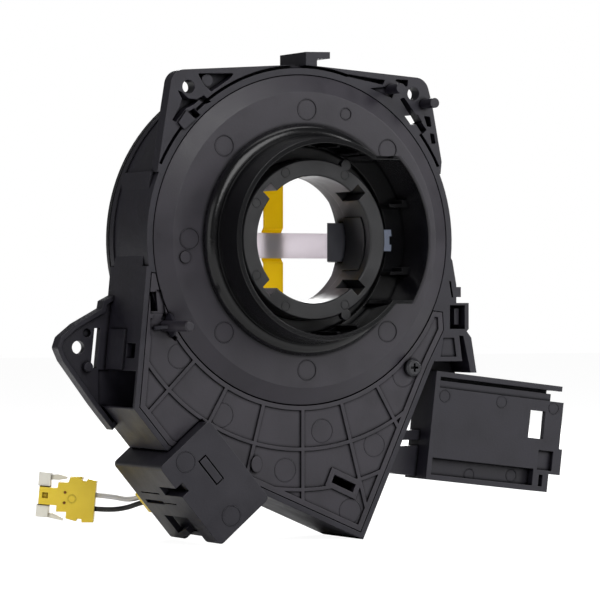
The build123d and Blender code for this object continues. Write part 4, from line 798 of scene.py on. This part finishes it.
@dataclass
class RaisedMarks:
    """Thin raised rings on upright faces, made with Geometry Nodes."""

    name: str
    body: str
    slot: str
    finish: MouldedPlastic
    rings: list[tuple[float, float, float, float]]    # x, y, z and radius in millimetres
    turn_deg: float = 0.0
    ridge_radius: float = 0.13 * MM
    ridge_sides: int = 8
    ring_steps: int = 40
    size_spread: float = 0.02
    seed: int = 7

    def tree(self) -> bpy.types.NodeTree:
        """Build the node tree that puts a ring round each point.

        Returns:
            The tree.
        """
        made = bpy.data.node_groups.new(f"{self.name}_ridges", "GeometryNodeTree")
        made.interface.new_socket("Geometry", in_out="INPUT", socket_type="NodeSocketGeometry")
        for label, kind in (("Ridge Radius", "NodeSocketFloat"), ("Ridge Sides", "NodeSocketInt"),
                            ("Ring Steps", "NodeSocketInt"), ("Size Spread", "NodeSocketFloat"),
                            ("Turn", "NodeSocketFloat"), ("Seed", "NodeSocketInt"),
                            ("Finish", "NodeSocketMaterial")):
            made.interface.new_socket(label, in_out="INPUT", socket_type=kind)
        made.interface.new_socket("Geometry", in_out="OUTPUT", socket_type="NodeSocketGeometry")
        given = add_node(made, "NodeGroupInput").outputs
        size = add_node(made, "GeometryNodeInputNamedAttribute", {"data_type": "FLOAT"}, {
            "Name": "ring_radius"})
        low = add_node(made, "ShaderNodeMath", {"operation": "SUBTRACT"}, {0: 1.0, 1: given["Size Spread"]})
        high = add_node(made, "ShaderNodeMath", {"operation": "ADD"}, {0: 1.0, 1: given["Size Spread"]})
        vary = add_node(made, "FunctionNodeRandomValue", {"data_type": "FLOAT"}, {
            2: low.outputs[0], 3: high.outputs[0], "Seed": given["Seed"]})
        real = add_node(made, "ShaderNodeMath", {"operation": "MULTIPLY"}, {
            0: size.outputs["Attribute"], 1: vary.outputs[1]})
        ring = add_node(made, "GeometryNodeCurvePrimitiveCircle", inputs={
            "Resolution": given["Ring Steps"], "Radius": 1.0})
        upright = add_node(made, "ShaderNodeCombineXYZ", inputs={"X": math.radians(90), "Z": given["Turn"]})
        stood = add_node(made, "GeometryNodeTransform", inputs={
            "Geometry": ring.outputs["Curve"], "Rotation": upright.outputs[0]})
        placed = add_node(made, "GeometryNodeInstanceOnPoints", inputs={
            "Points": given["Geometry"], "Instance": stood.outputs["Geometry"], "Scale": real.outputs[0]})
        loose = add_node(made, "GeometryNodeRealizeInstances", inputs={"Geometry": placed.outputs["Instances"]})
        profile = add_node(made, "GeometryNodeCurvePrimitiveCircle", inputs={
            "Resolution": given["Ridge Sides"], "Radius": given["Ridge Radius"]})
        even = add_node(made, "GeometryNodeSetCurveRadius", inputs={
            "Curve": loose.outputs["Geometry"], "Radius": 1.0})
        ridge = add_node(made, "GeometryNodeCurveToMesh", inputs={
            "Curve": even.outputs["Curve"], "Profile Curve": profile.outputs["Curve"]})
        whole = add_node(made, "GeometryNodeRealizeInstances", inputs={"Geometry": ridge.outputs["Mesh"]})
        coated = add_node(made, "GeometryNodeSetMaterial", inputs={
            "Geometry": whole.outputs["Geometry"], "Material": given["Finish"]})
        add_node(made, "NodeGroupOutput", inputs={0: coated.outputs["Geometry"]})
        return made

    def build(self) -> None:
        """Put the rings on their points and turn them into one plain mesh."""
        mesh = bpy.data.meshes.new(f"{self.name}_points")
        mesh.from_pydata([(x * MM, y * MM, z * MM) for x, y, z, _ in self.rings], [], [])
        sizes = mesh.attributes.new("ring_radius", "FLOAT", "POINT")
        sizes.data.foreach_set("value", [radius * MM for *_, radius in self.rings])
        source = bpy.data.objects.new(f"{self.name}_source", mesh)
        bpy.context.scene.collection.objects.link(source)
        nodes = source.modifiers.new("ridges", "NODES")
        nodes.node_group = self.tree()
        values = {"Ridge Radius": self.ridge_radius, "Ridge Sides": self.ridge_sides,
                  "Ring Steps": self.ring_steps, "Size Spread": self.size_spread, "Seed": self.seed,
                  "Turn": math.radians(self.turn_deg), "Finish": material_of(self.finish)}
        for item in nodes.node_group.interface.items_tree:
            if item.in_out == "INPUT" and item.name in values:
                nodes[item.identifier] = values[item.name]
        made = baked(source, self.name)
        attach(made, self.body)
        log.info("raised %d rings for %s", len(self.rings), self.name)


def surface_depth(node_name: str, x: float, z: float) -> float:
    """Find how far back a CAD node's rear surface is at a place.

    Args:
        node_name: the CAD node.
        x: millimetres to the right.
        z: millimetres up.

    Returns:
        Y of the surface there, in millimetres.
    """
    start = Vector((x * MM, DEPTH_RAY_START, z * MM))
    hit, place, _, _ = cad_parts[node_name].ray_cast(start, Vector((0, 1, 0)))
    if not hit:
        raise ValueError(f"nothing of {node_name} at {x}, {z}")
    return place.y / MM


@dataclass
class MarkSet:
    """All the ejector marks of the photograph, with places and radii in millimetres."""

    skirt: tuple[Pair, ...] = (
        (-40.8, -34.5), (-26.7, -52.1), (6.8, -57.4), (-5.7, -68.9), (16.4, -81.8), (24.7, -62.0),
        (34.8, -40.9))
    skirt_mark_r: float = 3.6
    disc_circle_r: float = 39.0
    disc_count: int = 8
    disc_mark_r: float = 3.1
    disc_depth: float = -2.72
    gate: Triple = (13.2, 38.0, 1.8)
    tray: tuple[Pair, ...] = ((3.8, -7.4), (24.2, -7.1), (43.2, -7.1), (16.9, -30.5), (32.0, -29.3))
    tray_mark_r: float = 1.8
    sleeve_angles_deg: tuple[float, ...] = (-151, -116, -62, 62, 116, 151)
    sleeve_circle_r: float = 22.0
    sleeve_mark_r: float = 1.35
    socket: tuple[Pair, ...] = ((-11.0, -3.1), (11.0, -2.2))
    socket_mark_r: float = 3.0
    plug_ring: tuple[Triple, ...] = ((-7.0, 0.3, 1.2),)
    plug_holes: tuple[Triple, ...] = ((-9.2, 2.1, 0.15), (-9.2, -1.1, 0.15))
    plug_turn_deg: float = -27.5
    cover_ridge: float = 0.11 * MM
    sleeve_ridge: float = 0.12 * MM
    hole_ridge: float = 0.28 * MM

    def build(self) -> None:
        """Raise the marks of each finish as one piece."""
        cover = [(x, surface_depth("rear_cover", x, z), z, self.skirt_mark_r) for x, z in self.skirt]
        turns = [2 * math.pi * number / self.disc_count for number in range(self.disc_count)]
        around = [(self.disc_circle_r * math.cos(turn), self.disc_circle_r * math.sin(turn), self.disc_mark_r)
                  for turn in turns]
        cover += [(x, self.disc_depth, z, radius) for x, z, radius in (*around, self.gate)]
        tray, case = TrayFrame(), []
        for along, up in self.tray:
            x, z = tray.place(along, up)
            case.append((x, surface_depth("stator_case", x, z), z, self.tray_mark_r))
        sleeve = []
        for angle in map(math.radians, self.sleeve_angles_deg):
            x, z = self.sleeve_circle_r * math.cos(angle), self.sleeve_circle_r * math.sin(angle)
            sleeve.append((x, surface_depth("rotor_sleeve", x, z), z, self.sleeve_mark_r))
        socket, plug = SocketFrame(), PlugFrame()
        shell = [(*(socket.spot(x, y, HarnessShell.rear) / MM), self.socket_mark_r) for x, y in self.socket]
        ring, holes = ([(*(plug.spot(along, up) / MM), radius) for along, up, radius in marks]
                       for marks in (self.plug_ring, self.plug_holes))
        RaisedMarks("cover_marks", "stator", "case_plastic", COVER_PBT, cover,
                    ridge_radius=self.cover_ridge).build()
        RaisedMarks("tray_marks", "stator", "case_plastic", HOUSING_PBT, case).build()
        RaisedMarks("sleeve_marks", "rotor", "rotor_plastic", ROTOR_POM, sleeve,
                    ridge_radius=self.sleeve_ridge).build()
        RaisedMarks("socket_marks", "stator", "socket_plastic", SOCKET_PBT, shell).build()
        RaisedMarks("plug_ring", "stator", "yellow_plastic", AIRBAG_PBT, ring,
                    turn_deg=self.plug_turn_deg).build()
        RaisedMarks("plug_holes", "stator", "yellow_plastic", HOLE_SHADE, holes, turn_deg=self.plug_turn_deg,
                    ridge_radius=self.hole_ridge).build()


@dataclass
class TrayStep:
    """The step that joins the switch tray's panel to the deeper floor of its lower channel."""

    lengths: Pair = (1.2, 43.0)
    heights: Pair = (-26.58, -25.9)
    depths: Pair = (1.5, 4.7)

    def build(self) -> None:
        """Build the step and set it in the tray."""
        tray, ends = TrayFrame(), []
        section = box_outline(self.heights[0], self.depths[0], self.heights[1], self.depths[1])
        for along in self.lengths:
            places = [(tray.place(along, up), depth) for up, depth in section]
            ends.append([Vector((x, depth, z)) * MM for (x, z), depth in places])
        made = baked(lofted("tray_step_block", [ends]), "tray_step")
        made.data.materials.append(material_of(HOUSING_PBT))
        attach(made, "stator")
        log.info("built tray_step")


@dataclass
class PinGusset:
    """The three fins at the foot of the left locating pin."""

    pin: Pair = (-45.6, -25.6)
    angles_deg: tuple[float, ...] = (70.0, 190.0, 310.0)
    half_thickness: float = 0.5
    profile: tuple[Pair, ...] = ((0.2, 0.4), (3.9, 0.4), (3.9, -0.9), (1.5, -5.2), (0.2, -5.2))

    def build(self) -> None:
        """Build the fins as one piece."""
        fins = []
        for angle in map(math.radians, self.angles_deg):
            out = Vector((math.cos(angle), 0, math.sin(angle)))
            side = Vector((-math.sin(angle), 0, math.cos(angle)))
            fins.append([[(Vector((self.pin[0], depth, self.pin[1])) + out * radius + side * shift) * MM
                          for radius, depth in self.profile]
                         for shift in (-self.half_thickness, self.half_thickness)])
        made = baked(lofted("pin_gusset_blocks", fins), "pin_gusset")
        made.data.materials.append(material_of(HOUSING_PBT))
        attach(made, "stator")
        log.info("built pin_gusset")


@dataclass
class BorePad:
    """The raised pad on the right of the bore, between two notches."""

    bore_r: float = 19.0
    thickness: float = 0.4
    root: float = 0.05     # how far the pad goes into the bore's wall
    z_range: Pair = (-9.0, 7.0)
    depths: Pair = (-4.2, 7.3)
    steps: int = 18

    def build(self) -> None:
        """Bend the pad round the bore's wall."""
        low, high = (math.asin(z / self.bore_r) for z in self.z_range)
        angles = [low + (high - low) * step / self.steps for step in range(self.steps + 1)]
        section = box_outline(self.bore_r - self.thickness, self.depths[0], self.bore_r + self.root,
                              self.depths[1])
        rings = [[Vector((radius * math.cos(angle), depth, radius * math.sin(angle))) * MM
                  for radius, depth in section] for angle in angles]
        made = baked(lofted("bore_pad_block", [rings]), "bore_pad")
        made.data.materials.append(material_of(ROTOR_POM))
        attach(made, "rotor")
        log.info("bent bore_pad")


def main() -> None:
    """Build the studio, dress the CAD nodes and add the small parts."""
    logging.basicConfig(level=logging.INFO, format="%(name)s: %(message)s")
    Studio(floor_z=CAD_BOX[0][2]).build()
    CadDress().dress()
    HarnessShell().build()
    InsertLip().build()
    MarkSet().build()
    BorePad().build()
    PinGusset().build()
    TrayStep().build()
    AirbagLeads().build()


if __name__ == "__main__":
    main()
